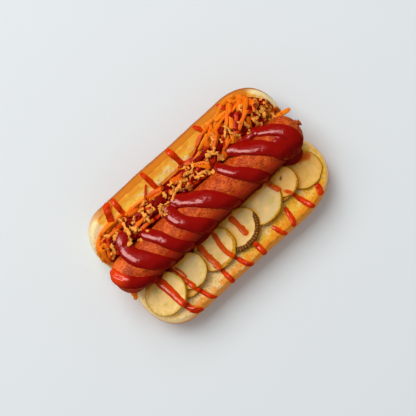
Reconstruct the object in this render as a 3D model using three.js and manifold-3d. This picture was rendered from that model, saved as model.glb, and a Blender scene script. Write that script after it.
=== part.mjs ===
// A hot dog in a bun that is slit along its length and opened like a book: a grilled sausage
// lies on shredded carrot and fried onion, pickle slices lie on the other half, and ketchup
// runs in a thick zigzag over the sausage and in thinner strands over the edges of the bun.
// Millimetres, +Z up. X runs along the sausage, +Y points to the carrot half, and the origin
// is the point of the flat underside below the fold of the bun.

import * as THREE from "three";
import { mergeVertices } from "three/addons/utils/BufferGeometryUtils.js";
import Module from "manifold-3d";

const wasm = await Module();
wasm.setup();

const { degToRad, lerp, smoothstep } = THREE.MathUtils;

// ---------- driving dimensions ----------

const GAP = 0.35; // clearance between pieces that touch

const BUN = {
  middle: 1.5, // where the middle of its length lies on X
  halfLength: 81, // of the cut face, without the crust's bulge
  foldHeight: 12, // crust and crumb under the fold
  foldOverlap: 5, // how far each half runs past the fold, into the other
  crustBulge: 3, // how far the crust stands out past the cut face
  bulgeDepth: 7, // how deep below the cut face it is widest
  depth: 19, // from the cut face down to the middle of the crust
  cornerPower: 2.2, // 2 is an elliptic end, more is squarer
};
const CARROT_HALF = { side: 1, tilt: degToRad(26), width: 48.5, leftEnd: 22, rightEnd: 26 };
const PICKLE_HALF = { side: -1, tilt: degToRad(14), width: 49.5, leftEnd: 24, rightEnd: 36 };

const SAUSAGE = {
  radius: 14.4,
  left: -84.5,
  right: 85,
  leftEnd: 15, // length of the rounded end
  rightEnd: 13,
  endPower: 2.3,
  across: 1, // Y of its axis
  height: 29.5, // Z of its axis
  knotRadius: 3.6, // the twisted casing at the right end
  knotLength: 1.6,
};

const SLICE_THICKNESS = 2.2;
const SLICE_RIM = 0.5;

const HEAP = {
  left: -80.5,
  right: 83,
  innerEdge: -10, // Y of its edge below the sausage
  outerEdge: 33.5, // Y of its edge on the carrot half
  wideEdge: 41, // the same where the shreds are piled out wide
  wideFrom: 22,
  wideTo: 70,
  endMiddle: 24, // Y that its ends close in to
  thickness: 14,
  lump: 1,
};
const SHRED = { width: 2.7, thickness: 2.0 };

// ---------- small helpers ----------

// A seeded generator of even numbers from 0 to 1.
function seeded(seed) {
  let state = seed;
  return () => {
    state = (state + 0x6d2b79f5) | 0;
    let mixed = Math.imul(state ^ (state >>> 15), 1 | state);
    mixed = (mixed + Math.imul(mixed ^ (mixed >>> 7), 61 | mixed)) ^ mixed;
    return ((mixed ^ (mixed >>> 14)) >>> 0) / 4294967296;
  };
}

function toSolid(geometry) {
  const bare = geometry.clone();
  bare.deleteAttribute("normal");
  bare.deleteAttribute("uv");
  const merged = mergeVertices(bare, 1e-4);
  return new wasm.Manifold(
    new wasm.Mesh({
      numProp: 3,
      vertProperties: merged.attributes.position.array,
      triVerts: new Uint32Array(merged.index.array),
    }),
  );
}

function toGeometry(solid) {
  const mesh = solid.getMesh();
  const geometry = new THREE.BufferGeometry();
  geometry.setAttribute("position", new THREE.BufferAttribute(mesh.vertProperties, 3));
  geometry.setIndex(new THREE.BufferAttribute(mesh.triVerts, 1));
  geometry.computeVertexNormals();
  return geometry;
}

const joined = (solids) => wasm.Manifold.union(solids);

// The largest of the separate bodies of a solid: cutting can leave scraps.
function largestBody(solid) {
  return solid.decompose().reduce((best, body) => (body.volume() > best.volume() ? body : best));
}

// A closed skin over rings of equally many points, with a flat cap on the first and last ring.
function loft(rings) {
  const count = rings[0].length;
  const points = rings.flat();
  const index = [];
  for (let r = 0; r + 1 < rings.length; r++) {
    for (let i = 0; i < count; i++) {
      const a = r * count + i;
      const b = r * count + ((i + 1) % count);
      index.push(a, b, b + count, a, b + count, a + count);
    }
  }
  const lastRing = (rings.length - 1) * count;
  for (let i = 1; i + 1 < count; i++) {
    index.push(0, i + 1, i, lastRing, lastRing + i, lastRing + i + 1);
  }
  const geometry = new THREE.BufferGeometry().setFromPoints(points);
  geometry.setIndex(index);
  return geometry;
}

// A strip along a smooth line. `up` gives the direction that the strip turns its back to,
// and `fullness` (0 to 1 along the line) narrows it towards its ends.
function strip(points, up, { halfWidth, halfHeight, steps, sides, fullness = () => 1, roll = 0 }) {
  const line = new THREE.CatmullRomCurve3(points, false, "centripetal");
  const rings = [];
  for (let i = 0; i <= steps; i++) {
    const t = i / steps;
    const centre = line.getPointAt(t);
    const along = line.getTangentAt(t);
    const back = up(centre).clone();
    back.addScaledVector(along, -back.dot(along)).normalize();
    const across = new THREE.Vector3().crossVectors(back, along);
    const scale = fullness(t);
    rings.push(
      Array.from({ length: sides }, (_, k) => {
        const turn = roll + ((k + 0.5) / sides) * 2 * Math.PI;
        return centre
          .clone()
          .addScaledVector(across, Math.cos(turn) * halfWidth * scale)
          .addScaledVector(back, Math.sin(turn) * halfHeight * scale);
      }),
    );
  }
  return toSolid(loft(rings));
}

// ---------- the bun ----------

// A point of a half: x along it, s from the fold across the cut face, d deep below that face.
function onHalf(half, x, s, d) {
  const y = half.side * (s * Math.cos(half.tilt) + d * Math.sin(half.tilt));
  const z = BUN.foldHeight + s * Math.sin(half.tilt) - d * Math.cos(half.tilt);
  return new THREE.Vector3(x, y, z);
}

// The upward normal of a half's cut face.
function faceNormal(half) {
  return new THREE.Vector3(0, -half.side * Math.sin(half.tilt), Math.cos(half.tilt));
}

// Height of the cut faces above the table at a place across the bun.
function faceHeight(y) {
  const half = y > 0 ? CARROT_HALF : PICKLE_HALF;
  return BUN.foldHeight + Math.abs(y) * Math.tan(half.tilt);
}

// The middle of a half's cut face across, from the fold, and its half width.
const halfCentre = (half) => (half.width - BUN.foldOverlap) / 2;
const halfWidth = (half) => (half.width + BUN.foldOverlap) / 2;

// How wide the half is at x, as a share of its full width: its ends are rounded off.
function endShare(half, x) {
  const end = x > BUN.middle ? half.rightEnd : half.leftEnd;
  const past = Math.abs(x - BUN.middle) - (BUN.halfLength - end);
  if (past <= 0) return 1;
  return Math.max(0, 1 - (past / end) ** BUN.cornerPower) ** (1 / BUN.cornerPower);
}

// The crust's profile from the cut face down: [depth, outset past the cut face's outline].
function crustProfile() {
  const profile = [];
  for (const turn of [90, 60, 30]) {
    const angle = degToRad(turn);
    profile.push([BUN.bulgeDepth * (1 - Math.sin(angle)), BUN.crustBulge * Math.cos(angle)]);
  }
  const lower = BUN.depth - BUN.bulgeDepth;
  const inward = 22; // how far the underside closes in
  for (const turn of [0, 20, 40, 57, 72, 84]) {
    const angle = degToRad(turn);
    profile.push([
      BUN.bulgeDepth + lower * Math.sin(angle),
      BUN.crustBulge - inward * (1 - Math.cos(angle) ** 0.9),
    ]);
  }
  return profile;
}

// One ring round a half at a depth, as a long outline with rounded ends.
function halfRing(half, depth, outset) {
  const endSteps = 9;
  const sideSteps = 8;
  const width = halfWidth(half) + outset;
  const power = 2 / BUN.cornerPower;
  const ring = [];
  for (const way of [1, -1]) {
    const end = way > 0 ? half.rightEnd : half.leftEnd;
    const endStart = BUN.middle + way * (BUN.halfLength - end);
    const otherEnd = way > 0 ? half.leftEnd : half.rightEnd;
    const sideEnd = BUN.middle - way * (BUN.halfLength - otherEnd);
    for (let i = 0; i <= endSteps; i++) {
      const turn = -Math.PI / 2 + (i / endSteps) * Math.PI;
      const x = endStart + way * (end + outset) * Math.max(0, Math.cos(turn)) ** power;
      const share = Math.sign(Math.sin(turn)) * Math.abs(Math.sin(turn)) ** power;
      ring.push(onHalf(half, x, halfCentre(half) + way * width * share, depth));
    }
    for (let i = 1; i < sideSteps; i++) {
      const x = lerp(endStart, sideEnd, i / sideSteps);
      ring.push(onHalf(half, x, halfCentre(half) + way * width, depth));
    }
  }
  return ring;
}

// One half of the bun, thicker all round by `grow`.
function halfBun(half, grow) {
  const rings = crustProfile().map(([depth, outset], i) =>
    halfRing(half, i === 0 ? depth - grow : depth + grow * 0.5, outset + grow),
  );
  if (half.side > 0) rings.forEach((ring) => ring.reverse());
  return toSolid(loft(rings));
}

// Everything above the table.
function aboveTable() {
  const size = 400;
  return toSolid(new THREE.BoxGeometry(size, size, size).translate(0, 0, size / 2));
}

function openBun(grow) {
  return halfBun(CARROT_HALF, grow).add(halfBun(PICKLE_HALF, grow)).intersect(aboveTable());
}

// A point on a half's surface: q runs across the cut face from the fold, and on past its edge
// down over the crust. `lift` is the height above the surface.
function onSkin(half, x, q, lift) {
  const edge = halfCentre(half) + halfWidth(half) * endShare(half, x);
  if (q <= edge) return onHalf(half, x, q, -lift);
  const turn = Math.min((q - edge) / BUN.bulgeDepth, 1.6);
  const s = edge + (BUN.crustBulge + lift) * Math.sin(Math.min(turn, Math.PI / 2));
  return onHalf(half, x, s, BUN.bulgeDepth * (1 - Math.cos(turn)) - lift * Math.cos(turn));
}

// A strand of ketchup that runs over the edge of a half. Its places are [x, q] as above.
function edgeStrand(half, { places, width }, grow) {
  const centre = onHalf(half, 0, half.width - 12, 8);
  const up = (p) => new THREE.Vector3(0, p.y - centre.y, p.z - centre.z).normalize();
  return strip(
    places.map(([x, q]) => onSkin(half, x, q, 0.3)),
    up,
    { halfWidth: width / 2 + grow, halfHeight: STRAND_HALF_HEIGHT + grow, steps: 4, sides: 6, fullness: blunt },
  );
}

// A blunt, rounded end on a strip of sauce.
function blunt(t) {
  return Math.min(1, 0.45 + 5 * Math.min(t, 1 - t)) ** 0.7;
}

const STRAND_HALF_HEIGHT = 1.3;
const CARROT_EDGE_STRANDS = [
  { places: [[-58.3, 40], [-56.5, 44], [-54.5, 49.5], [-53, 54], [-52.5, 59]], width: 5.4 },
  { places: [[-47.5, 39], [-47.5, 43], [-47, 49], [-47, 54], [-46.8, 58]], width: 3.8 },
  { places: [[-18.4, 39], [-18.6, 43], [-19, 49], [-19.4, 54], [-19.6, 58]], width: 3.8 },
  { places: [[6.2, 39], [6, 43], [5.4, 49], [5, 54], [4.8, 58]], width: 4.6 },
  { places: [[33, 43], [32.2, 46], [31, 50], [30, 54], [29.5, 57]], width: 3.2 },
  { places: [[55, 46], [54.3, 48], [53.5, 50], [52.5, 54], [52, 57]], width: 4 },
];
const PICKLE_EDGE_STRANDS = [
  { places: [[-59, 44.5], [-57.5, 47], [-55.5, 50.5], [-53.5, 54.5], [-51, 58]], width: 5.8 },
  { places: [[-44, 44.5], [-42.5, 47], [-41, 50.5], [-39.5, 54.5], [-38, 58]], width: 3.6 },
  { places: [[-22.8, 44.5], [-22.8, 47], [-22.6, 50.5], [-22.4, 54.5], [-22.3, 58]], width: 4 },
  { places: [[-9.2, 44.5], [-8, 47], [-6.8, 50.5], [-5.4, 54.5], [-4, 58]], width: 4 },
  { places: [[7, 44.5], [7.2, 47], [7.5, 50.5], [7.6, 54.5], [7.6, 58.5]], width: 4.4 },
  { places: [[24.4, 43.5], [25.2, 46.5], [26, 50], [27, 54], [28, 57.5]], width: 3.8 },
  { places: [[39, 42], [38.3, 45.5], [37.5, 49.5], [36.6, 53], [35.6, 56.5]], width: 4.2 },
  { places: [[51.5, 41.5], [52.5, 44], [53.6, 47.5], [54.6, 51.5], [55.4, 55]], width: 4 },
  { places: [[67.4, 41], [66.8, 43], [66, 46], [65.5, 49.5], [65, 52]], width: 4.6 },
];

function bunSolid(grow) {
  return joined([
    openBun(grow),
    ...CARROT_EDGE_STRANDS.map((strand) => edgeStrand(CARROT_HALF, strand, grow)),
    ...PICKLE_EDGE_STRANDS.map((strand) => edgeStrand(PICKLE_HALF, strand, grow)),
  ]);
}

// ---------- the sausage and its ketchup ----------

// The sausage, thicker all round by `grow`, with the twisted casing at its right end.
function sausageBody(grow) {
  const profile = [new THREE.Vector2(0, SAUSAGE.left - grow)];
  const endSteps = 5;
  const power = 1 / SAUSAGE.endPower;
  const radiusAt = (past) => SAUSAGE.radius * Math.max(0, 1 - past ** SAUSAGE.endPower) ** power;
  for (let i = 1; i <= endSteps; i++) {
    const past = Math.cos((i / endSteps) * (Math.PI / 2));
    const x = SAUSAGE.left + SAUSAGE.leftEnd * (1 - past);
    profile.push(new THREE.Vector2(radiusAt(past) + grow, x - grow * past));
  }
  for (let i = endSteps; i >= 1; i--) {
    const past = Math.cos((i / endSteps) * (Math.PI / 2));
    const x = SAUSAGE.right - SAUSAGE.rightEnd * (1 - past);
    profile.push(new THREE.Vector2(radiusAt(past) + grow, x + grow * past));
  }
  profile.push(new THREE.Vector2(SAUSAGE.knotRadius, SAUSAGE.right - 0.3 + grow));
  profile.push(new THREE.Vector2(SAUSAGE.knotRadius * 0.6, SAUSAGE.right + SAUSAGE.knotLength + grow));
  profile.push(new THREE.Vector2(0, SAUSAGE.right + SAUSAGE.knotLength + grow));
  const geometry = new THREE.LatheGeometry(profile, 24);
  geometry.rotateZ(-Math.PI / 2);
  geometry.translate(0, SAUSAGE.across, SAUSAGE.height);
  return toSolid(geometry);
}

// The radius of the sausage at x.
function sausageRadius(x) {
  const leftPast = (SAUSAGE.left + SAUSAGE.leftEnd - x) / SAUSAGE.leftEnd;
  const rightPast = (x - SAUSAGE.right + SAUSAGE.rightEnd) / SAUSAGE.rightEnd;
  const past = Math.min(0.97, Math.max(0, leftPast, rightPast));
  return SAUSAGE.radius * (1 - past ** SAUSAGE.endPower) ** (1 / SAUSAGE.endPower);
}

// A place [x, y] seen from above, on the sausage where it lies over it, and beyond it on
// whatever is beside it: the heap on the carrot side, the sausage's flank on the other.
function sauceOn([x, y, drop = 0]) {
  const radius = sausageRadius(x);
  const away = y - SAUSAGE.across;
  const rise = Math.sqrt(Math.max(0, radius ** 2 - away ** 2));
  const onTop = SAUSAGE.height + rise;
  if (away > 0) return new THREE.Vector3(x, y, Math.max(onTop, heapTop(x, y) + 0.6) - drop);
  return new THREE.Vector3(x, y, onTop - drop);
}

// The direction that sauce turns its back to: away from the sausage's axis, and up where the
// sauce has left the sausage for the heap.
function sauceUp(point) {
  const radial = new THREE.Vector3(0, point.y - SAUSAGE.across, point.z - SAUSAGE.height);
  const away = smoothstep(radial.length(), SAUSAGE.radius, SAUSAGE.radius + 5);
  return radial.normalize().lerp(new THREE.Vector3(0, 0, 1), away).normalize();
}

// The thick zigzag: each band runs slantwise over the sausage, and neighbours meet in turns,
// on the heap at the top and on the sausage's flank below. Places are [x, y, drop].
const THICK_BANDS = [
  // the loop round the left end
  [[-63, -12.6, 1], [-71, -6.5], [-76, 3.5], [-79.6, 11], [-82.3, 6], [-81, -1.8], [-75.5, -8], [-67, -13, 3]],
  // from the first turn on the heap down, and the band that runs beside it
  [[-52, 18], [-57, 22.6], [-63.5, 20.6], [-66, 14.5], [-63.8, 7], [-59, 0], [-51, -7], [-43, -13, 2]],
  [[-56, 21], [-51, 16], [-45, 9.6], [-39.6, 3], [-34, -3.6], [-29, -9], [-24, -13, 2]],
  // the second pair
  [[-17.5, 18.4], [-21.6, 18.6], [-23.2, 12], [-20, 4.6], [-14.4, -2], [-8.6, -8], [-3, -13, 2]],
  [[-21, 18.6], [-14, 16], [-5, 11], [2, 4.4], [8, -2.4], [13, -8.4], [18.5, -13.2, 2]],
  // the third pair
  [[30, 19], [24.6, 17.6], [24, 12], [28, 6], [33, -0.6], [37.4, -7], [42, -13, 2]],
  [[31, 19.4], [38, 17.4], [46, 12], [54, 5.6], [60, -2], [65, -8.6], [69, -13.2, 2]],
  // the last band, and the drop that hangs from it
  [[57, 16.6], [64, 13.6], [70.6, 6.8], [75.4, 0.4], [76.4, -6], [73, -11.6, 1], [69.4, -14.6, 5], [68, -16, 7]],
];
const BAND_HALF_WIDTH = 4.5;
const BAND_HALF_HEIGHT = 2.6;

function thickSauce(grow) {
  return THICK_BANDS.map((places) =>
    strip(places.map(sauceOn), sauceUp, {
      halfWidth: BAND_HALF_WIDTH + grow,
      halfHeight: BAND_HALF_HEIGHT + grow,
      steps: 9,
      sides: 6,
      fullness: blunt,
    }),
  );
}

function sausageSolid(grow) {
  return largestBody(joined([sausageBody(grow), ...thickSauce(grow)]));
}

// ---------- pickle slices ----------

// Centre along X, centre across from the fold, half sizes along and across. The later ones
// lie on the earlier ones, like tiles.
const SLICES = [
  { x: 66.8, s: 27.2, along: 13.9, across: 13.6 },
  { x: 47.2, s: 25.8, along: 10.4, across: 10.2 },
  { x: 50.6, s: 24.6, along: 10.6, across: 11.4 },
  { x: 28.6, s: 26.2, along: 16.8, across: 13.8 },
  { x: 4.2, s: 28.2, along: 17.2, across: 14.6 },
  { x: -17, s: 28, along: 16.6, across: 14.2 },
  { x: -47, s: 29.6, along: 13.4, across: 13 },
  { x: -40, s: 27.2, along: 12.8, across: 13.4 },
  { x: -63.2, s: 28.2, along: 15.8, across: 15.6 },
];

// The height above the cut face of a settled slice's lower side at x.
function lowerSide(slice, x) {
  return slice.base + (x - slice.x + slice.along) * Math.tan(slice.tilt);
}

// How high the left edge of a slice has to be, at a tilt, to clear those already laid.
function baseFor(slice, tilt, laid) {
  let base = GAP;
  const samples = 24;
  for (let ring = 0.1; ring <= 1.01; ring += 0.1) {
    for (let i = 0; i < samples; i++) {
      const turn = (i / samples) * 2 * Math.PI;
      const x = slice.x + ring * slice.along * Math.cos(turn);
      const s = slice.s + ring * slice.across * Math.sin(turn);
      for (const other of laid) {
        const inside = ((x - other.x) / (other.along + 0.6)) ** 2 + ((s - other.s) / (other.across + 0.6)) ** 2;
        if (inside > 1) continue;
        const top = lowerSide(other, x) + SLICE_THICKNESS / Math.cos(other.tilt) + GAP;
        base = Math.max(base, top - (x - slice.x + slice.along) * Math.tan(tilt));
      }
    }
  }
  return base;
}

// Lays the slices one after another, each at the tilt that lets its middle sink lowest.
function settle(slices) {
  const laid = [];
  for (const slice of slices) {
    let best = null;
    for (let tilt = 0; tilt <= degToRad(16); tilt += degToRad(0.25)) {
      const base = baseFor(slice, tilt, laid);
      const middle = base + slice.along * Math.tan(tilt);
      if (!best || middle < best.middle - 1e-6) best = { base, tilt, middle };
    }
    laid.push({ ...slice, base: best.base, tilt: best.tilt });
  }
  return laid;
}

function sliceGeometry(slice) {
  const half = SLICE_THICKNESS / 2;
  const inner = 1 - SLICE_RIM / slice.along;
  const profile = [
    [0, -half],
    [inner, -half],
    [1, -half + SLICE_RIM],
    [1, half - SLICE_RIM],
    [inner, half],
    [0, half],
  ].map(([r, z]) => new THREE.Vector2(r, z));
  const geometry = new THREE.LatheGeometry(profile, 24);
  geometry.rotateX(Math.PI / 2);
  geometry.scale(slice.along / Math.cos(slice.tilt), slice.across, 1);
  geometry.rotateY(-slice.tilt);
  return geometry;
}

// A slice in its place on the cut face of the pickle half.
function sliceSolid(slice) {
  const centreHeight = lowerSide(slice, slice.x) + SLICE_THICKNESS / 2 / Math.cos(slice.tilt);
  const geometry = sliceGeometry(slice);
  geometry.rotateX(-PICKLE_HALF.tilt);
  const centre = onHalf(PICKLE_HALF, slice.x, slice.s, -centreHeight);
  geometry.translate(centre.x, centre.y, centre.z);
  return toSolid(geometry);
}

// The thick strand of ketchup that runs down the first slice from the left.
const SLICE_STRAND = [[-63, 17.5], [-62, 23], [-61, 30], [-60, 36], [-59.4, 41]];

function sliceStrand(slice) {
  const top = SLICE_THICKNESS / Math.cos(slice.tilt);
  const points = SLICE_STRAND.map(([x, s]) => onHalf(PICKLE_HALF, x, s, -lowerSide(slice, x) - top));
  const up = () => faceNormal(PICKLE_HALF);
  return strip(points, up, { halfWidth: 2.7, halfHeight: 1.3, steps: 8, sides: 8, fullness: blunt });
}

// ---------- the heap of carrot shreds and fried onion ----------

// How far x is from the heap's middle, as a share of its half length.
function heapReach(x) {
  const middle = (HEAP.left + HEAP.right) / 2;
  return Math.min(1, Math.abs(x - middle) / ((HEAP.right - HEAP.left) / 2));
}

// Y of the heap's outer edge and of its edge below the sausage at x: both close in at its ends.
function heapEdge(x) {
  const widening = smoothstep(x, HEAP.wideFrom - 12, HEAP.wideFrom + 12);
  const narrowing = 1 - smoothstep(x, HEAP.wideTo, HEAP.wideTo + 12);
  const edge = lerp(HEAP.outerEdge, HEAP.wideEdge, widening * narrowing);
  return lerp(edge, HEAP.endMiddle + 4, heapReach(x) ** 16);
}

function heapInnerEdge(x) {
  return lerp(HEAP.innerEdge, HEAP.endMiddle - 5, heapReach(x) ** 6);
}

// Height of the heap's core: a ridge between the sausage and the outer edge.
function heapTop(x, y) {
  const inner = heapInnerEdge(x);
  const share = THREE.MathUtils.clamp((y - inner) / (heapEdge(x) - inner), 0, 1);
  const fade = 1 - 0.75 * heapReach(x) ** 8;
  const ridge = Math.sin(Math.PI * share ** 1.35) ** 0.8;
  const lumps = Math.sin(x * 0.31) * Math.sin(y * 0.42 + x * 0.12) + 0.6 * Math.sin(x * 0.83 + y * 0.5);
  return faceHeight(y) + 0.6 + fade * (HEAP.thickness * ridge + HEAP.lump * lumps * ridge);
}

// The solid core below the shreds.
function heapCore() {
  const stepsX = 20;
  const stepsY = 6;
  const rows = [];
  for (let i = 0; i <= stepsX; i++) {
    const x = lerp(HEAP.left, HEAP.right, i / stepsX);
    const top = [];
    const bottom = [];
    for (let j = 0; j <= stepsY; j++) {
      const y = lerp(heapInnerEdge(x), heapEdge(x), j / stepsY);
      top.push(new THREE.Vector3(x, y, heapTop(x, y)));
      bottom.unshift(new THREE.Vector3(x, y, faceHeight(y) - 1.5));
    }
    rows.push([...top, ...bottom].reverse());
  }
  return toSolid(loft(rows));
}

// Groups of shreds: how many, the field [x0, x1, y0, y1] that their middles lie in, their
// heading from X in degrees with its spread, and their length.
const SHRED_GROUPS = [
  { count: 13, field: [-70, 24, 18, 30], heading: 4, spread: 24, length: [20, 36] },
  { count: 4, field: [-58, 20, 29, 32], heading: 6, spread: 8, length: [24, 36] },
  { count: 14, field: [30, 72, 20, 43], heading: 38, spread: 22, length: [18, 30] },
  { count: 4, field: [-76, -68, 18, 30], heading: 60, spread: 50, length: [10, 16] },
  { count: 4, field: [70, 78, 18, 30], heading: -50, spread: 40, length: [10, 16] },
];
// Shreds that stick out, from end to end, with their bend.
const STRAY_SHREDS = [
  [[66, 15.5, 29], [76, 14.6, 29.5], [88, 12, 27.5]],
  [[-72, -4, 15], [-77.5, -9, 15], [-83, -15, 13.5]],
  [[-70, -2, 15.2], [-75.5, -7.6, 16], [-78.6, -11.5, 16.5]],
  [[12, 29, 29], [20, 30.6, 31], [27.5, 32.4, 31.5]],
  [[20, 30, 31], [31, 35, 32], [43, 39.5, 33.2]],
  [[49, 27, 34], [56, 35, 35], [63.5, 42, 34]],
];

function shredAt(random, share, { field: [x0, x1, y0, y1], heading, spread, length }) {
  const x = lerp(x0, x1, share);
  const y = lerp(y0, Math.min(y1, heapEdge(x) + 2), random());
  const turn = degToRad(heading + (random() * 2 - 1) * spread);
  const half = lerp(length[0], length[1], random()) / 2;
  const bend = (random() * 2 - 1) * 0.12;
  const lift = 0.5 + random() * 1.5;
  const points = [-1, -0.5, 0, 0.5, 1].map((place) => {
    const along = place * half;
    const across = bend * half * (place ** 2 - 0.3);
    const px = x + along * Math.cos(turn) - across * Math.sin(turn);
    const py = y + along * Math.sin(turn) + across * Math.cos(turn);
    const restingY = THREE.MathUtils.clamp(py, 12, heapEdge(px) + 1);
    return new THREE.Vector3(px, py, heapTop(px, restingY) + 0.5 + lift * place ** 2);
  });
  return shred(points, random() * 0.6);
}

function shred(points, roll) {
  const up = () => new THREE.Vector3(0, 0, 1);
  return strip(points, up, {
    halfWidth: SHRED.width * Math.SQRT1_2,
    halfHeight: SHRED.thickness * Math.SQRT1_2,
    steps: 3,
    sides: 4,
    roll,
    fullness: (t) => Math.min(1, 0.7 + 3 * Math.min(t, 1 - t)),
  });
}

// Onion flakes: small curled chips, thickest along the sausage's side of the heap.
const FLAKES = { count: 22, field: [-73, 77, 15.5, 30], length: [3.5, 8.5], halfWidth: 1.7, halfHeight: 1 };

function flakeAt(random, share) {
  const [x0, x1, y0, y1] = FLAKES.field;
  const x = lerp(x0, x1, share);
  const y = lerp(y0, y1, random() ** 1.3);
  const turn = random() * Math.PI;
  const half = lerp(FLAKES.length[0], FLAKES.length[1], random() ** 1.5) / 2;
  const curl = random() * 1.6;
  const points = [-1, 1].map((place) => {
    const px = x + place * half * Math.cos(turn);
    const py = y + place * half * Math.sin(turn);
    return new THREE.Vector3(px, py, heapTop(px, Math.max(py, 14)) + 1.4 + curl * place);
  });
  const size = 0.7 + 0.6 * random();
  return strip(points, () => new THREE.Vector3(0, 0, 1), {
    halfWidth: FLAKES.halfWidth * size,
    halfHeight: FLAKES.halfHeight,
    steps: 1,
    sides: 3,
    roll: random(),
  });
}

function heapSolid() {
  const random = seeded(20);
  const pieces = [heapCore()];
  for (const group of SHRED_GROUPS) {
    for (let i = 0; i < group.count; i++) {
      pieces.push(shredAt(random, (i + random()) / group.count, group));
    }
  }
  for (const ends of STRAY_SHREDS) {
    pieces.push(shred(ends.map((end) => new THREE.Vector3(...end)), 0.3));
  }
  for (let i = 0; i < FLAKES.count; i++) {
    pieces.push(flakeAt(random, (i + random()) / FLAKES.count));
  }
  return largestBody(joined(pieces).subtract(joined([sausageSolid(GAP), bunSolid(GAP)])));
}

// ---------- the whole ----------

const COLOURS = {
  crust: { color: 0xe0a055, roughness: 0.6, metalness: 0 },
  sausage: { color: 0xb5482a, roughness: 0.35, metalness: 0 },
  pickle: { color: 0xc9b877, roughness: 0.3, metalness: 0 },
  carrot: { color: 0xf08218, roughness: 0.5, metalness: 0 },
};

function piece(name, solid, finish) {
  const mesh = new THREE.Mesh(toGeometry(solid), new THREE.MeshStandardMaterial(COLOURS[finish]));
  mesh.name = name;
  return mesh;
}

const hotDog = new THREE.Group();
hotDog.add(piece("bun", bunSolid(0), "crust"));
hotDog.add(piece("sausage", sausageSolid(0), "sausage"));
hotDog.add(piece("carrot_heap", heapSolid(), "carrot"));

const clearOfSausage = sausageSolid(GAP);
const laidSlices = settle(SLICES);
laidSlices.forEach((slice, i) => {
  const last = i === laidSlices.length - 1;
  const whole = last ? sliceSolid(slice).add(sliceStrand(slice)) : sliceSolid(slice);
  hotDog.add(piece(`pickle_${i + 1}`, largestBody(whole.subtract(clearOfSausage)), "pickle"));
});

export default hotDog;
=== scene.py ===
"""A hot dog in an opened bun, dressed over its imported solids.

The bun, the sausage, the ketchup, the pickle slices, the carrot shreds and the fried onion
each have an operator of their own; the panel in the sidebar lists them in working order.
Lengths are metres, and places in the lists below are millimetres in the frame of the part:
X runs along the sausage and +Y points to the carrot half of the bun.
"""

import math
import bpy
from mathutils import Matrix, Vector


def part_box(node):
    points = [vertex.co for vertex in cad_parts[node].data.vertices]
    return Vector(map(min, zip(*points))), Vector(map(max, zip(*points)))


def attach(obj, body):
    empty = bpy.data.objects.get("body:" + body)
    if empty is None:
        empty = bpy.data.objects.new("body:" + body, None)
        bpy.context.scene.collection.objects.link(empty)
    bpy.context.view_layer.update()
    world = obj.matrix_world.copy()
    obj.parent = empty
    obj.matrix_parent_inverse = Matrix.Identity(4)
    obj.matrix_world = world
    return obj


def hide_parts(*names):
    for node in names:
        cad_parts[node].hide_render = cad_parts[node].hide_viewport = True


bl_info = {
    "name": "Hot dog",
    "version": (1, 0, 0),
    "blender": (4, 5, 0),
    "location": "View3D > Sidebar > Hot dog",
    "description": "Builds a hot dog with carrot, fried onion, pickle slices and ketchup",
    "category": "Object",
}

from itertools import product

import bpy
import numpy as np
from bpy.props import FloatProperty, FloatVectorProperty, IntProperty, PointerProperty
from mathutils import Vector
from mathutils.bvhtree import BVHTree

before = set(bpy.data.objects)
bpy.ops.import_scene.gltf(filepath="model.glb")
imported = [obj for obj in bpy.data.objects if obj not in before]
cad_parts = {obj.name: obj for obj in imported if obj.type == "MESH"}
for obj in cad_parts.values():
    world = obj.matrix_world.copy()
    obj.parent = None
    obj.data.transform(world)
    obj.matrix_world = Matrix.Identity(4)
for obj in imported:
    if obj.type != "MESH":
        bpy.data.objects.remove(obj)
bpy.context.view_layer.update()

MM = 0.001
ROOT = "root"


def length_prop(name, description, default):
    return FloatProperty(name=name, description=description, default=default, unit="LENGTH")


def angle_prop(name, description, degrees):
    default = math.radians(degrees)
    return FloatProperty(name=name, description=description, default=default, subtype="ANGLE")


def amount_prop(name, description, default):
    return FloatProperty(name=name, description=description, default=default, min=0)


def count_prop(name, description, default):
    return IntProperty(name=name, description=description, default=default, min=0)


def colour_prop(name, description, *rgb):
    kind = {"subtype": "COLOR", "size": 3, "min": 0, "max": 1}
    return FloatVectorProperty(name=name, description=description, default=rgb, **kind)


def node_middle(node, axis):
    low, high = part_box(node)
    return (low[axis] + high[axis]) / 2


def node_reach(node, axis):
    low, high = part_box(node)
    return (high[axis] - low[axis]) / 2


# ---------- settings ----------


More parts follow.
